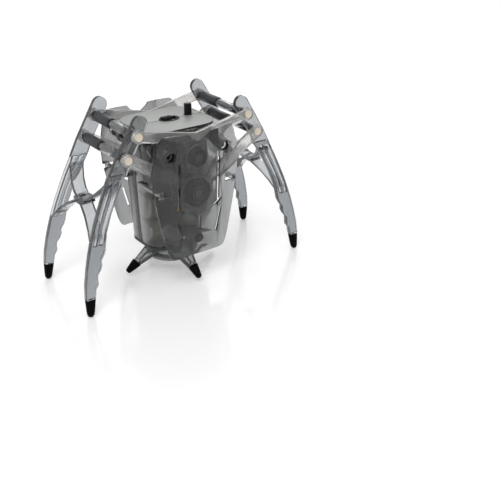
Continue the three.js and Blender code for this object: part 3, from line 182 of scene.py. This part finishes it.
def build_tint_group():
    group = bpy.data.node_groups.new("moulded_tint", "ShaderNodeTree")
    face = group.interface
    face.new_socket("Colour", in_out="INPUT", socket_type="NodeSocketColor")
    face.new_socket("Unevenness", in_out="INPUT", socket_type="NodeSocketFloat")
    face.new_socket("Size", in_out="INPUT", socket_type="NodeSocketFloat")
    face.new_socket("Grain", in_out="INPUT", socket_type="NodeSocketFloat")
    face.new_socket("Colour", in_out="OUTPUT", socket_type="NodeSocketColor")
    face.new_socket("Roughness", in_out="OUTPUT", socket_type="NodeSocketFloat")
    face.new_socket("Height", in_out="OUTPUT", socket_type="NodeSocketFloat")
    enter = group.nodes.new("NodeGroupInput")
    leave = group.nodes.new("NodeGroupOutput")
    place = group.nodes.new("ShaderNodeTexCoord")
    cloud = group.nodes.new("ShaderNodeTexNoise")
    cloud.inputs["Detail"].default_value = 3
    fine = group.nodes.new("ShaderNodeTexNoise")
    fine.inputs["Detail"].default_value = 2
    link = group.links.new
    link(place.outputs["Object"], cloud.inputs["Vector"])
    link(place.outputs["Object"], fine.inputs["Vector"])
    link(enter.outputs["Size"], cloud.inputs["Scale"])
    link(enter.outputs["Grain"], fine.inputs["Scale"])
    swing = group.nodes.new("ShaderNodeMath")
    swing.operation = "SUBTRACT"
    link(cloud.outputs["Fac"], swing.inputs[0])
    swing.inputs[1].default_value = noise_middle
    amount = group.nodes.new("ShaderNodeMath")
    amount.operation = "MULTIPLY_ADD"
    link(swing.outputs[0], amount.inputs[0])
    link(enter.outputs["Unevenness"], amount.inputs[1])
    amount.inputs[2].default_value = 1
    shade = group.nodes.new("ShaderNodeVectorMath")
    shade.operation = "SCALE"
    link(enter.outputs["Colour"], shade.inputs[0])
    link(amount.outputs[0], shade.inputs["Scale"])
    link(shade.outputs["Vector"], leave.inputs["Colour"])
    rough = group.nodes.new("ShaderNodeMapRange")
    link(cloud.outputs["Fac"], rough.inputs["Value"])
    rough.inputs["To Min"].default_value = rough_low
    rough.inputs["To Max"].default_value = rough_high
    link(rough.outputs["Result"], leave.inputs["Roughness"])
    link(fine.outputs["Fac"], leave.inputs["Height"])
    return group


moulded_tint = build_tint_group()
print("sockets of the tint group:", len(moulded_tint.interface.items_tree))

# %% [markdown]
# The group is placed in a material with that material's own values. Its roughness is a share that
# is multiplied by the material's roughness. Its height goes through a Bump node, because geometry
# as fine as that grain would take far too many faces.

# %% The tint in a material
grain_depth = 0.05


def use_tint(tree, shader, colour, unevenness, size, grain, roughness, bump):
    tint = tree.nodes.new("ShaderNodeGroup")
    tint.node_tree = moulded_tint
    tint.inputs["Colour"].default_value = (*colour, 1)
    tint.inputs["Unevenness"].default_value = unevenness
    tint.inputs["Size"].default_value = size
    tint.inputs["Grain"].default_value = grain
    scale = tree.nodes.new("ShaderNodeMath")
    scale.operation = "MULTIPLY"
    scale.inputs[1].default_value = roughness
    relief = tree.nodes.new("ShaderNodeBump")
    relief.inputs["Strength"].default_value = bump
    relief.inputs["Distance"].default_value = grain_depth * MM
    link = tree.links.new
    link(tint.outputs["Colour"], shader.inputs["Base Color"])
    link(tint.outputs["Roughness"], scale.inputs[0])
    link(scale.outputs[0], shader.inputs["Roughness"])
    link(tint.outputs["Height"], relief.inputs["Height"])
    link(relief.outputs["Normal"], shader.inputs["Normal"])


# %% [markdown]
# Six plastics let light through. The legs, arms and can are smoky, the cover plates take in more
# light still, and the base and the links are paler. A little haze, which is plastic that scatters
# light instead of passing it, makes the links milky, so they show against the dark body.

# %% See-through plastics
plastic_ior = 1.49


def see_through(
    name, smoke, density, roughness, haze=0.02, unevenness=0.06, size=60, grain=900, bump=0.08,
):
    material, tree, shader = new_material(name)
    use_tint(tree, shader, (1, 1, 1), unevenness, size, grain, roughness, bump)
    shader.inputs["Transmission Weight"].default_value = 1 - haze
    shader.inputs["IOR"].default_value = plastic_ior
    inside = tree.nodes.new("ShaderNodeVolumeAbsorption")
    inside.inputs["Color"].default_value = (*smoke, 1)
    inside.inputs["Density"].default_value = density
    tree.links.new(inside.outputs["Volume"], tree.nodes["Material Output"].inputs["Volume"])
    return material


smoky_leg = see_through("smoky_leg_plastic", (0.10, 0.14, 0.18), 470, 0.10)
smoky_housing = see_through("smoky_housing_plastic", (0.14, 0.17, 0.13), 500, 0.12)
smoky_arm = see_through("smoky_arm_plastic", (0.10, 0.12, 0.14), 620, 0.18, haze=0.06)
frosted_cover = see_through("frosted_cover_plastic", (0.10, 0.11, 0.12), 1420, 0.12, haze=0.01)
pale_base = see_through("pale_base_plastic", (0.35, 0.37, 0.38), 160, 0.14, haze=0.12)
clear_link = see_through(
    "clear_link_plastic", (0.50, 0.48, 0.44), 340, 0.16,
    haze=0.18, unevenness=0.8, size=700, bump=0.3,
)
print("see-through plastics:", [material.name for material in bpy.data.materials])

# %% [markdown]
# The rest is solid: black and grey plastic, rubber, cream pin heads, white gears, a circuit board,
# steel and brass. Plain colours would look painted, so they get the same uneven tint, with a finer
# grain. The blacks are written darker than they look, because the white room adds its shine.

# %% Solid finishes
def solid(
    name, colour, roughness, metallic=0.0, unevenness=0.15, size=120, grain=3000, bump=0.1,
    specular=0.5,
):
    material, tree, shader = new_material(name)
    use_tint(tree, shader, colour, unevenness, size, grain, roughness, bump)
    shader.inputs["Metallic"].default_value = metallic
    shader.inputs["Specular IOR Level"].default_value = specular
    return material


# The satin is the lid's own finish. Its lighter grey is painted light, for the light from above and
# the white room mirrored on the top.
satin_lid_painted_light = solid(
    "satin_lid_plastic", (0.32, 0.33, 0.32), 0.42, unevenness=0.3, size=90, specular=0.3,
)
black_plastic = solid("black_plastic", (0.005, 0.005, 0.006), 0.35, specular=0.12)
black_rubber = solid("black_rubber", (0.002, 0.002, 0.0025), 0.4, bump=0.25, specular=0.04)
dark_grey = solid("dark_grey_plastic", (0.034, 0.036, 0.039), 0.4, specular=0.3)
cap_grey = solid("crank_cap_plastic", (0.24, 0.245, 0.25), 0.4, specular=0.3)
cream_plastic = solid("cream_pin_plastic", (0.80, 0.70, 0.57), 0.45)
white_gear = solid("white_gear_plastic", (0.75, 0.74, 0.70), 0.45)
board_green = solid("circuit_board_green", (0.03, 0.09, 0.05), 0.5)
steel = solid("plain_steel", (0.60, 0.60, 0.61), 0.32, metallic=1.0)
brass = solid("turned_brass", (0.60, 0.44, 0.18), 0.3, metallic=1.0)
print("finishes in all:", len(bpy.data.materials))

# %% [markdown]
# The CAD model names a material slot for every node. The nodes could be painted one by one, but a
# table from slot to finish dresses them all at once and keeps pieces of one plastic alike.

# %% Finishes on the CAD nodes
node_finish = {
    "black_plastic": black_plastic, "black_rubber": black_rubber, "brass": brass,
    "clear_link": clear_link, "cream_head": cream_plastic, "dark_grey": dark_grey,
    "frosted_cover": frosted_cover, "green_board": board_green, "smoky_housing": smoky_housing,
    "smoky_leg": smoky_leg, "steel": steel, "white_gear": white_gear,
}
slot_of = {entry["node"]: entry["material_slot"] for entry in frame["record"]["subparts"]}
body_of = {
    name: body
    for body, members in frame["record"]["behaviour"]["bodies"].items()
    for name in members
}
for name, node in nodes.items():
    node.data.materials.clear()
    node.data.materials.append(node_finish[slot_of[name]])
print("slots given a finish:", len(node_finish))

# %% [markdown]
# A moulded part has no knife edges. They could be rounded one by one in edit mode, but the Bevel
# modifier finds them all by their angle, and shading by the same angle keeps the flat faces flat.
# A finished piece is put on its body, where it rides, and may replace a node, which is then hidden.

# %% Helpers for edges and for putting a piece on its body
edge_angle = 38


def only(piece):
    bpy.ops.object.select_all(action="DESELECT")
    piece.select_set(True)
    bpy.context.view_layer.objects.active = piece


def smooth(piece, angle=35):
    only(piece)
    bpy.ops.object.shade_smooth_by_angle(angle=math.radians(angle))


def bevel_edges(piece, width, segments=2):
    only(piece)
    round_off = piece.modifiers.new("rounding", "BEVEL")
    round_off.width = width * MM
    round_off.segments = segments
    round_off.limit_method = "ANGLE"
    round_off.angle_limit = math.radians(edge_angle)
    bpy.ops.object.modifier_apply(modifier=round_off.name)
    smooth(piece, edge_angle)


def hand_in(piece, body, slot, *replaced):
    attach(piece, body)
    if replaced:
        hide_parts(*replaced)


# %% [markdown]
# A CAD mesh is loose triangles with sharp edges, and it may not be changed itself. So each shaped
# solid is copied, its doubled corners are merged and its flat faces made whole, and its edges are
# rounded by a few tenths of a millimetre. On the smoky parts that rounding bends the light, which
# draws their dark outlines.

# %% Rounded copies of the CAD solids
merge_distance = 0.002
flat_angle = math.radians(1)


def rounded(name, width, segments=2):
    piece = bpy.data.objects.new(f"rounded_{name}", nodes[name].data.copy())
    bpy.context.scene.collection.objects.link(piece)
    only(piece)
    bpy.ops.object.mode_set(mode="EDIT")
    bpy.ops.mesh.select_all(action="SELECT")
    bpy.ops.mesh.remove_doubles(threshold=merge_distance * MM)
    bpy.ops.mesh.dissolve_limited(angle_limit=flat_angle)
    bpy.ops.object.mode_set(mode="OBJECT")
    bevel_edges(piece, width, segments)
    hand_in(piece, body_of[name], slot_of[name], name)
    return piece


# %% [markdown]
# The table says how far each solid is softened, in millimetres: most on the thick legs and least on
# the screws, because one width for all would swallow the small edges. The upward faces of the lid
# are satin and painted a lighter grey, which is painted light from above and the white room
# mirrored on top; the centre arms are a darker smoky plastic, and the crank caps grey.

# %% Which solids are softened, and by how much
softened = {
    "front_housing": 0.35, "rear_housing": 0.35, "bottom_plate": 0.3,
    "front_shield": 0.22, "rear_shield": 0.22,
    "right_leg_frame": 0.5, "left_leg_frame": 0.5,
    "front_upper_beam": 0.3, "rear_upper_beam": 0.3,
    "front_lower_link": 0.3, "rear_lower_link": 0.3,
    "power_switch_knob": 0.3, "ir_receiver": 0.25,
}
for quarter in ("right", "rear", "left", "front"):
    softened[f"{quarter}_centre_foot"] = 0.3
for end in ("front", "rear"):
    softened[f"{end}_drive_crank_cap"] = 0.3
    softened[f"{end}_upper_crank_cap"] = 0.25
    for side in ("right", "left"):
        softened[f"{end}_{side}_screw"] = 0.08
softened["front_drive_crank"] = 0.3
softened["rear_drive_crankshaft"] = 0.3
softened["front_upper_crank"] = 0.25
softened["rear_upper_crankshaft"] = 0.25
lid_level, facing_up = 68.5, 0.5
for name, width in softened.items():
    piece = rounded(name, width, 3 if "leg_frame" in name else 2)
    # Painted light: only the upward faces of the lid take the lighter grey, as the light from above
    # lights them.
    if name.endswith("_housing"):
        piece.data.materials.append(satin_lid_painted_light)
        for face in piece.data.polygons:
            if face.center.z > lid_level * MM and face.normal.z > facing_up:
                face.material_index = 1
    if name.endswith("_centre_foot"):
        piece.data.materials[0] = smoky_arm
    if name.endswith("_crank_cap"):
        piece.data.materials[0] = cap_grey
    print(piece.name, "faces", len(piece.data.polygons))

# %% [markdown]
# Round parts are turned: a circle is added, filled, and extruded ring by ring along a profile, as a
# lathe would show it. Spinning an outline would do too, but it leaves doubled corners on the axis.
# The rubber tips, pins, button cells and the base disc are all made this way.

# %% Turned pieces
def ring_turn(along):
    return Vector(along).normalized().to_track_quat("Z", "Y").to_euler()


def turned(name, stations, along, sides):
    """Stations are (centre, radius) in mm; the rings stand square to along."""
    stations = [(Vector(centre), radius) for centre, radius in stations]
    centre, radius = stations[0]
    bpy.ops.object.select_all(action="DESELECT")
    bpy.ops.mesh.primitive_circle_add(
        vertices=sides, radius=radius * MM, fill_type="NGON",
        location=centre * MM, rotation=ring_turn(along),
    )
    piece = bpy.context.object
    piece.name = name
    bpy.ops.object.transform_apply(location=True, rotation=True, scale=True)
    bpy.ops.object.mode_set(mode="EDIT")
    bpy.ops.mesh.select_all(action="SELECT")
    for next_centre, next_radius in stations[1:]:
        step = (next_centre - centre) * MM
        bpy.ops.mesh.extrude_region_move(TRANSFORM_OT_translate={"value": step})
        ratio = next_radius / radius
        bpy.ops.transform.resize(value=(ratio, ratio, ratio), center_override=next_centre * MM)
        centre, radius = next_centre, next_radius
    bpy.ops.mesh.select_all(action="SELECT")
    bpy.ops.mesh.normals_make_consistent(inside=False)
    bpy.ops.object.mode_set(mode="OBJECT")
    return piece


def along_axis(start, direction, profile):
    """Turns a profile of (distance, radius) along a line from start into stations."""
    direction = Vector(direction).normalized()
    return [(Vector(start) + direction * distance, radius) for distance, radius in profile]


def paint(piece, material):
    piece.data.materials.clear()
    piece.data.materials.append(material)


def join_pieces(pieces, name):
    only(pieces[0])
    for piece in pieces:
        piece.select_set(True)
    bpy.ops.object.join()
    pieces[0].name = name
    return pieces[0]


# %% [markdown]
# Many pieces repeat. Each is modelled once, near the middle, and copied. Linked copies would share
# one mesh, but a finished piece keeps its place in its mesh, so every copy gets a mesh of its own,
# and the move goes into that. A mirrored copy comes out inside out, so its faces are turned back.
# The first one is thrown away at the end.

# %% Helpers for what repeats
def shifted(x, y, z):
    return Matrix.Translation(Vector((x, y, z)) * MM)


def copied(first, name, placing):
    """A copy with its own mesh, put in its place by a matrix."""
    piece = first.copy()
    piece.data = first.data.copy()
    piece.name = name
    bpy.context.scene.collection.objects.link(piece)
    piece.data.transform(placing)
    if placing.determinant() < 0:
        piece.data.flip_normals()
    return piece


def discard(*pieces):
    for piece in pieces:
        bpy.data.objects.remove(piece)


# %% [markdown]
# Several places carry a flat raised band: an oval rim round the switch, round ribs on the crank
# caps, and a dark ring on each screw post, which is painted shade for the shadow at the edge of the
# screw well. Cutting one cylinder out of another leaves long thin faces, so a circle is sized to
# the band's inner edge, that edge is extruded outwards, and Solidify and Bevel give the band its
# height and its soft corners.

# %% Flat bands
band_edge = 0.08


def flat_band(name, foot, facing, inner, outer, height):
    """A band on foot (mm) that rises along facing; inner and outer are pairs of half sizes."""
    facing = Vector(facing)
    pivot = Vector(foot) * MM

    def across(a, b):
        return (a, b, 1) if abs(facing.z) > 0.5 else (a, 1, b)

    bpy.ops.object.select_all(action="DESELECT")
    bpy.ops.mesh.primitive_circle_add(
        vertices=64, radius=MM, fill_type="NOTHING", location=pivot, rotation=ring_turn(facing),
    )
    piece = bpy.context.object
    piece.name = name
    bpy.ops.object.transform_apply(location=True, rotation=True, scale=True)
    bpy.ops.object.mode_set(mode="EDIT")
    bpy.ops.mesh.select_all(action="SELECT")
    bpy.ops.transform.resize(value=across(*inner), center_override=pivot)
    bpy.ops.mesh.extrude_edges_move()
    bpy.ops.transform.resize(
        value=across(outer[0] / inner[0], outer[1] / inner[1]), center_override=pivot,
    )
    bpy.ops.mesh.select_all(action="SELECT")
    bpy.ops.mesh.normals_make_consistent(inside=False)
    bpy.ops.object.mode_set(mode="OBJECT")
    if piece.data.polygons[0].normal.dot(facing) < 0:
        piece.data.flip_normals()
    rise = piece.modifiers.new("height", "SOLIDIFY")
    rise.thickness = height * MM
    rise.offset = 1
    bpy.ops.object.modifier_apply(modifier=rise.name)
    bevel_edges(piece, band_edge)
    paint(piece, black_plastic)
    return piece


rim_foot, rim_height = (-0.8, 0, 69.97), 0.32
rim_inner, rim_outer = (4.35, 2.9), (4.85, 3.45)
rim = flat_band("switch_rim", rim_foot, (0, 0, 1), rim_inner, rim_outer, rim_height)
hand_in(rim, "chassis", "black_plastic")
print("switch rim", 2 * rim_outer[0], "by", 2 * rim_outer[1], "mm")

# %% [markdown]
# The ribs on the caps are what draws the round rings that one sees through the cover plates. They
# could be painted on, but on a moulded cap they stand out and catch the light. They turn with their
# crank just inside the plate, and the closest of them clears it by 0.03 mm.

# %% Ribs on the crank caps and painted shade rings on the screw posts
cap_face, boss_face, post_face = 21.78, 23.17, 22.57
ribs = (
    ("drive", "outer", cap_face, (5.0, 6.0, 0.42)),
    ("drive", "inner", boss_face, (1.7, 2.55, 0.25)),
    ("upper", "outer", cap_face, (2.8, 3.8, 0.42)),
)
# The post rings are painted shade: a black ring for the shadow at the edge of each screw well.
post_shade_ring = (1.8, 2.55, 0.25)


def round_band(name, inner, outer, height):
    return flat_band(name, (0, 0, 0), (0, 1, 0), (inner, inner), (outer, outer), height)


def over(node, face, sy):
    """Centres a band over a node, face mm out; minus in both x and y is a half turn."""
    low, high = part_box(node)
    x, z = ((low[axis] + high[axis]) / 2 / MM for axis in (0, 2))
    return shifted(x, sy * face, z) @ Matrix.Diagonal((sy, sy, 1, 1))


first_ribs = [round_band(f"first_{crank}_{rib}", *sizes) for crank, rib, _, sizes in ribs]
first_shade_ring = round_band("first_shade_ring", *post_shade_ring)
for end, sy in (("front", -1), ("rear", 1)):
    for first, (crank, rib, face, _) in zip(first_ribs, ribs):
        cap = f"{end}_{crank}_crank_cap"
        piece = copied(first, f"{end}_{crank}_cap_{rib}_rib", over(cap, face, sy))
        hand_in(piece, body_of[cap], "dark_grey")
    for side in ("right", "left"):
        placing = over(f"{end}_{side}_screw", post_face, sy)
        ring = copied(first_shade_ring, f"{end}_{side}_post_shade_ring", placing)
        hand_in(ring, "chassis", "black_plastic")
discard(first_shade_ring, *first_ribs)
print("cap ribs:", 2 * len(ribs), "and four post rings")

# %% [markdown]
# The four outer rubber tips are small blunt cones that lean with the legs. A straight cone could be
# sheared, but that needs a window. So the rings stay level while their centres shift, and the flat
# end still stands flat on the floor. One is made at the rear right and mirrored for the others.

# %% Rubber tips of the legs
tip_profile = [(0, 0.8), (0.12, 1.1), (0.9, 1.58), (2.2, 1.78), (7.1, 2.24), (7.4, 2.1)]
foot_x, foot_y = 55.0, 20.8
lean_x, lean_y = -0.0905, -0.077
tip_edge = 0.15
stations = [
    ((foot_x + lean_x * z, foot_y + lean_y * z, z), radius) for z, radius in tip_profile
]
first_tip = turned("first_tip", stations, (0, 0, 1), sides=32)
bevel_edges(first_tip, tip_edge)
paint(first_tip, black_rubber)
for end, sy in (("front", -1), ("rear", 1)):
    for side, sx in (("right", 1), ("left", -1)):
        tip = copied(first_tip, f"{end}_{side}_rubber", Matrix.Diagonal((sx, sy, 1, 1)))
        hand_in(tip, "walking_frame", "black_rubber", f"{end}_{side}_tip")
discard(first_tip)
print("outer rubber tips,", tip_profile[-1][0], "mm tall")

# %% [markdown]
# The centre feet end in longer tips that point outwards and down at 34 degrees, and slip over the
# ends of the smoky arms. An upright tip could be tilted, but rings can stand square to any line, so
# one is turned along its slope, to the right of the hub, and copied round it in quarter turns.

# %% Rubber tips of the centre feet
tip_slope = math.radians(34)
tip_reach, tip_low = 23.6, 2.44
hub_centre = (-2.0, 0.5)
centre_tip_profile = [(-0.05, 0.7), (0.15, 1.05), (0.8, 1.35), (3.2, 1.8), (6.1, 2.3), (6.3, 2.2)]
inwards = (-math.cos(tip_slope), 0, math.sin(tip_slope))
stations = along_axis((tip_reach, 0, tip_low), inwards, centre_tip_profile)
first_tip = turned("first_centre_tip", stations, inwards, sides=32)
bevel_edges(first_tip, tip_edge)
paint(first_tip, black_rubber)
for quarter, degrees in (("right", 0), ("rear", 90), ("left", 180), ("front", 270)):
    placing = shifted(*hub_centre, 0) @ Matrix.Rotation(math.radians(degrees), 4, "Z")
    tip = copied(first_tip, f"{quarter}_centre_rubber", placing)
    hand_in(tip, "turntable", "black_rubber", f"{quarter}_centre_tip")
discard(first_tip)
print("centre rubber tips,", centre_tip_profile[-1][0], "mm long")

# %% [markdown]
# Two clear tubes reach back from the front plate of each leg frame. A tube could be turned inside
# and out, but an open cylinder with Solidify keeps its wall even.

# %% Cross tube
tube_radius, tube_wall, tube_edge = 2.0, 0.5, 0.12
tube_front, tube_back = -15.7, 2.2


def cross_tube(name):
    bpy.ops.object.select_all(action="DESELECT")
    bpy.ops.mesh.primitive_cylinder_add(
        vertices=48, radius=tube_radius * MM, depth=(tube_back - tube_front) * MM,
        end_fill_type="NOTHING", location=(0, (tube_front + tube_back) / 2 * MM, 0),
        rotation=(math.pi / 2, 0, 0),
    )
    tube = bpy.context.object
    tube.name = name
    bpy.ops.object.transform_apply(location=True, rotation=True, scale=True)
    wall = tube.modifiers.new("wall", "SOLIDIFY")
    wall.thickness = tube_wall * MM
    wall.offset = -1
    bpy.ops.object.modifier_apply(modifier=wall.name)
    bevel_edges(tube, tube_edge)
    paint(tube, smoky_leg)
    return tube


first_tube = cross_tube("first_tube")
print("tube", tube_back - tube_front, "mm long")

# %% [markdown]
# A dark rod runs through each tube. It is thick at the rear, where the tube stops, and carries pale
# round heads in front of the links. Rod and heads could be three pieces, but they never move apart,
# so they are turned one by one, each in its own plastic, and joined.

# %% Pin with its heads
rod_profile = [
    (-18.6, 1.1), (-15.4, 1.15), (-15.4, 1.35), (-13.2, 1.35), (-13.0, 1.05), (2.3, 1.05),
    (2.5, 2.2), (2.7, 2.3), (15.5, 2.3), (15.7, 2.2), (15.7, 1.15), (18.6, 1.1),
]
head_profile = [
    (18.5, 1.6), (18.6, 1.7), (20.1, 1.7), (20.25, 1.55), (20.2, 1.15), (20.1, 1.0), (20.12, 0.2),
]


def turned_part(name, along, profile, sides, material):
    part = turned(name, along_axis((0, 0, 0), along, profile), along, sides)
    smooth(part)
    paint(part, material)
    return part


first_pin = join_pieces([
    turned_part("rod", (0, 1, 0), rod_profile, 32, dark_grey),
    turned_part("front_head", (0, -1, 0), head_profile, 36, cream_plastic),
    turned_part("rear_head", (0, 1, 0), head_profile, 36, cream_plastic),
], "first_pin")
print("pin faces:", len(first_pin.data.polygons))

# %% [markdown]
# Each leg frame carries an upper and a lower pair, and the left side mirrors the right. The pair is
# the same all round, so it is only shifted and never turned.

# %% Tubes and pins in their places
tube_places = {"upper": (27.14, 71.9), "lower": (32.4, 63.2)}
for side, sx in (("right", 1), ("left", -1)):
    for level_name, (x, z) in tube_places.items():
        placing = shifted(sx * x, 0, z)
        tube = copied(first_tube, f"{side}_{level_name}_clear_tube", placing)
        hand_in(tube, "walking_frame", "smoky_leg", f"{side}_{level_name}_tube")
        pin = copied(first_pin, f"{side}_{level_name}_rod_and_heads", placing)
        hand_in(pin, "walking_frame", "cream_head", f"{side}_{level_name}_pin")
discard(first_tube, first_pin)
print("tubes and pins:", 2 * len(tube_places), "of each")

# %% [markdown]
# The body turns on a pale round base with a rim and a few moulded bands. Its hub reaches up through
# the bottom plate and carries the steering gear. The bands could be separate rings, but on the real
# one they are moulded in, so the whole base is turned in one piece from rim to hub.

# %% Round base
base_rings = [
    (6.2, 10.3), (6.35, 10.8), (6.8, 11.2), (8.0, 11.2), (8.3, 10.9), (8.6, 9.9), (8.9, 9.6),
    (10.4, 9.6), (10.5, 9.3), (10.9, 9.3), (11.0, 9.6), (13.8, 9.6), (14.0, 9.3), (14.0, 4.0),
    (17.8, 4.0),
]
stations = along_axis((*hub_centre, 0), (0, 0, 1), base_rings)
base = turned("round_base", stations, (0, 0, 1), sides=72)
smooth(base, angle=30)
paint(base, pale_base)
hand_in(base, "turntable", "smoky_housing", "turntable")
print("round base", 2 * max(radius for _, radius in base_rings), "mm across")

# %% [markdown]
# Three button cells stand in a column at the left. Each has a rolled edge and a plain raised pole,
# and a pale sleeve of insulation round its rim, which is what shows through the smoky can. Paint
# could mark the sleeve, but its edge stands proud, so can and sleeve are turned and then joined.
# One cell is turned at the size of the lowest, and the CAD model gives the places of all three.

# %% Button cells
def cell_box(level_name):
    low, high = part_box(f"{level_name}_button_cell")
    return Vector(low) / MM, Vector(high) / MM


cell_sleeve = solid("cell_sleeve_plastic", (0.42, 0.40, 0.30), 0.5)
low, high = cell_box("lower")
radius, thick = (high.z - low.z) / 2, high.x - low.x
can_profile = [
    (0, radius - 0.9), (0.1, radius - 0.4), (0.5, radius - 0.1), (thick - 1.0, radius - 0.1),
    (thick - 0.9, radius - 0.7), (thick - 0.5, radius - 1.0), (thick, radius - 1.4),
]
sleeve_profile = [
    (0.8, radius - 0.08), (0.85, radius), (thick - 1.3, radius), (thick - 1.25, radius - 0.08),
]
first_cell = join_pieces([
    turned_part("can", (1, 0, 0), can_profile, 48, steel),
    turned_part("sleeve", (1, 0, 0), sleeve_profile, 48, cell_sleeve),
], "first_cell")
for level_name in ("lower", "middle", "upper"):
    low, high = cell_box(level_name)
    placing = shifted(low.x, (low.y + high.y) / 2, (low.z + high.z) / 2)
    cell = copied(first_cell, f"{level_name}_cell", placing)
    hand_in(cell, "chassis", "steel", f"{level_name}_button_cell")
discard(first_cell)
print("three button cells,", round(2 * radius, 2), "by", round(thick, 2), "mm")

# %% [markdown]
# The floor is plain glossy white, as a sheet of plastic is, so the robot stands on its own faint
# reflection. It is stage and not part of the robot, and it keeps the soft shadow. More light would
# whiten it too, but would bleach the robot, so it glows a little, and only where it is seen.

# %% Floor finish
floor_white, floor_roughness, floor_glow = (0.93, 0.93, 0.93, 1), 0.14, 0.25


def floor_finish():
    material, tree, shader = new_material("glossy_white_floor")
    shader.inputs["Base Color"].default_value = floor_white
    shader.inputs["Roughness"].default_value = floor_roughness
    shader.inputs["Emission Color"].default_value = (1, 1, 1, 1)
    tree.links.new(by_ray(tree, 0.0, floor_glow), shader.inputs["Emission Strength"])
    return material


floor.data.materials.append(floor_finish())
print("floor material:", floor.data.materials[0].name)
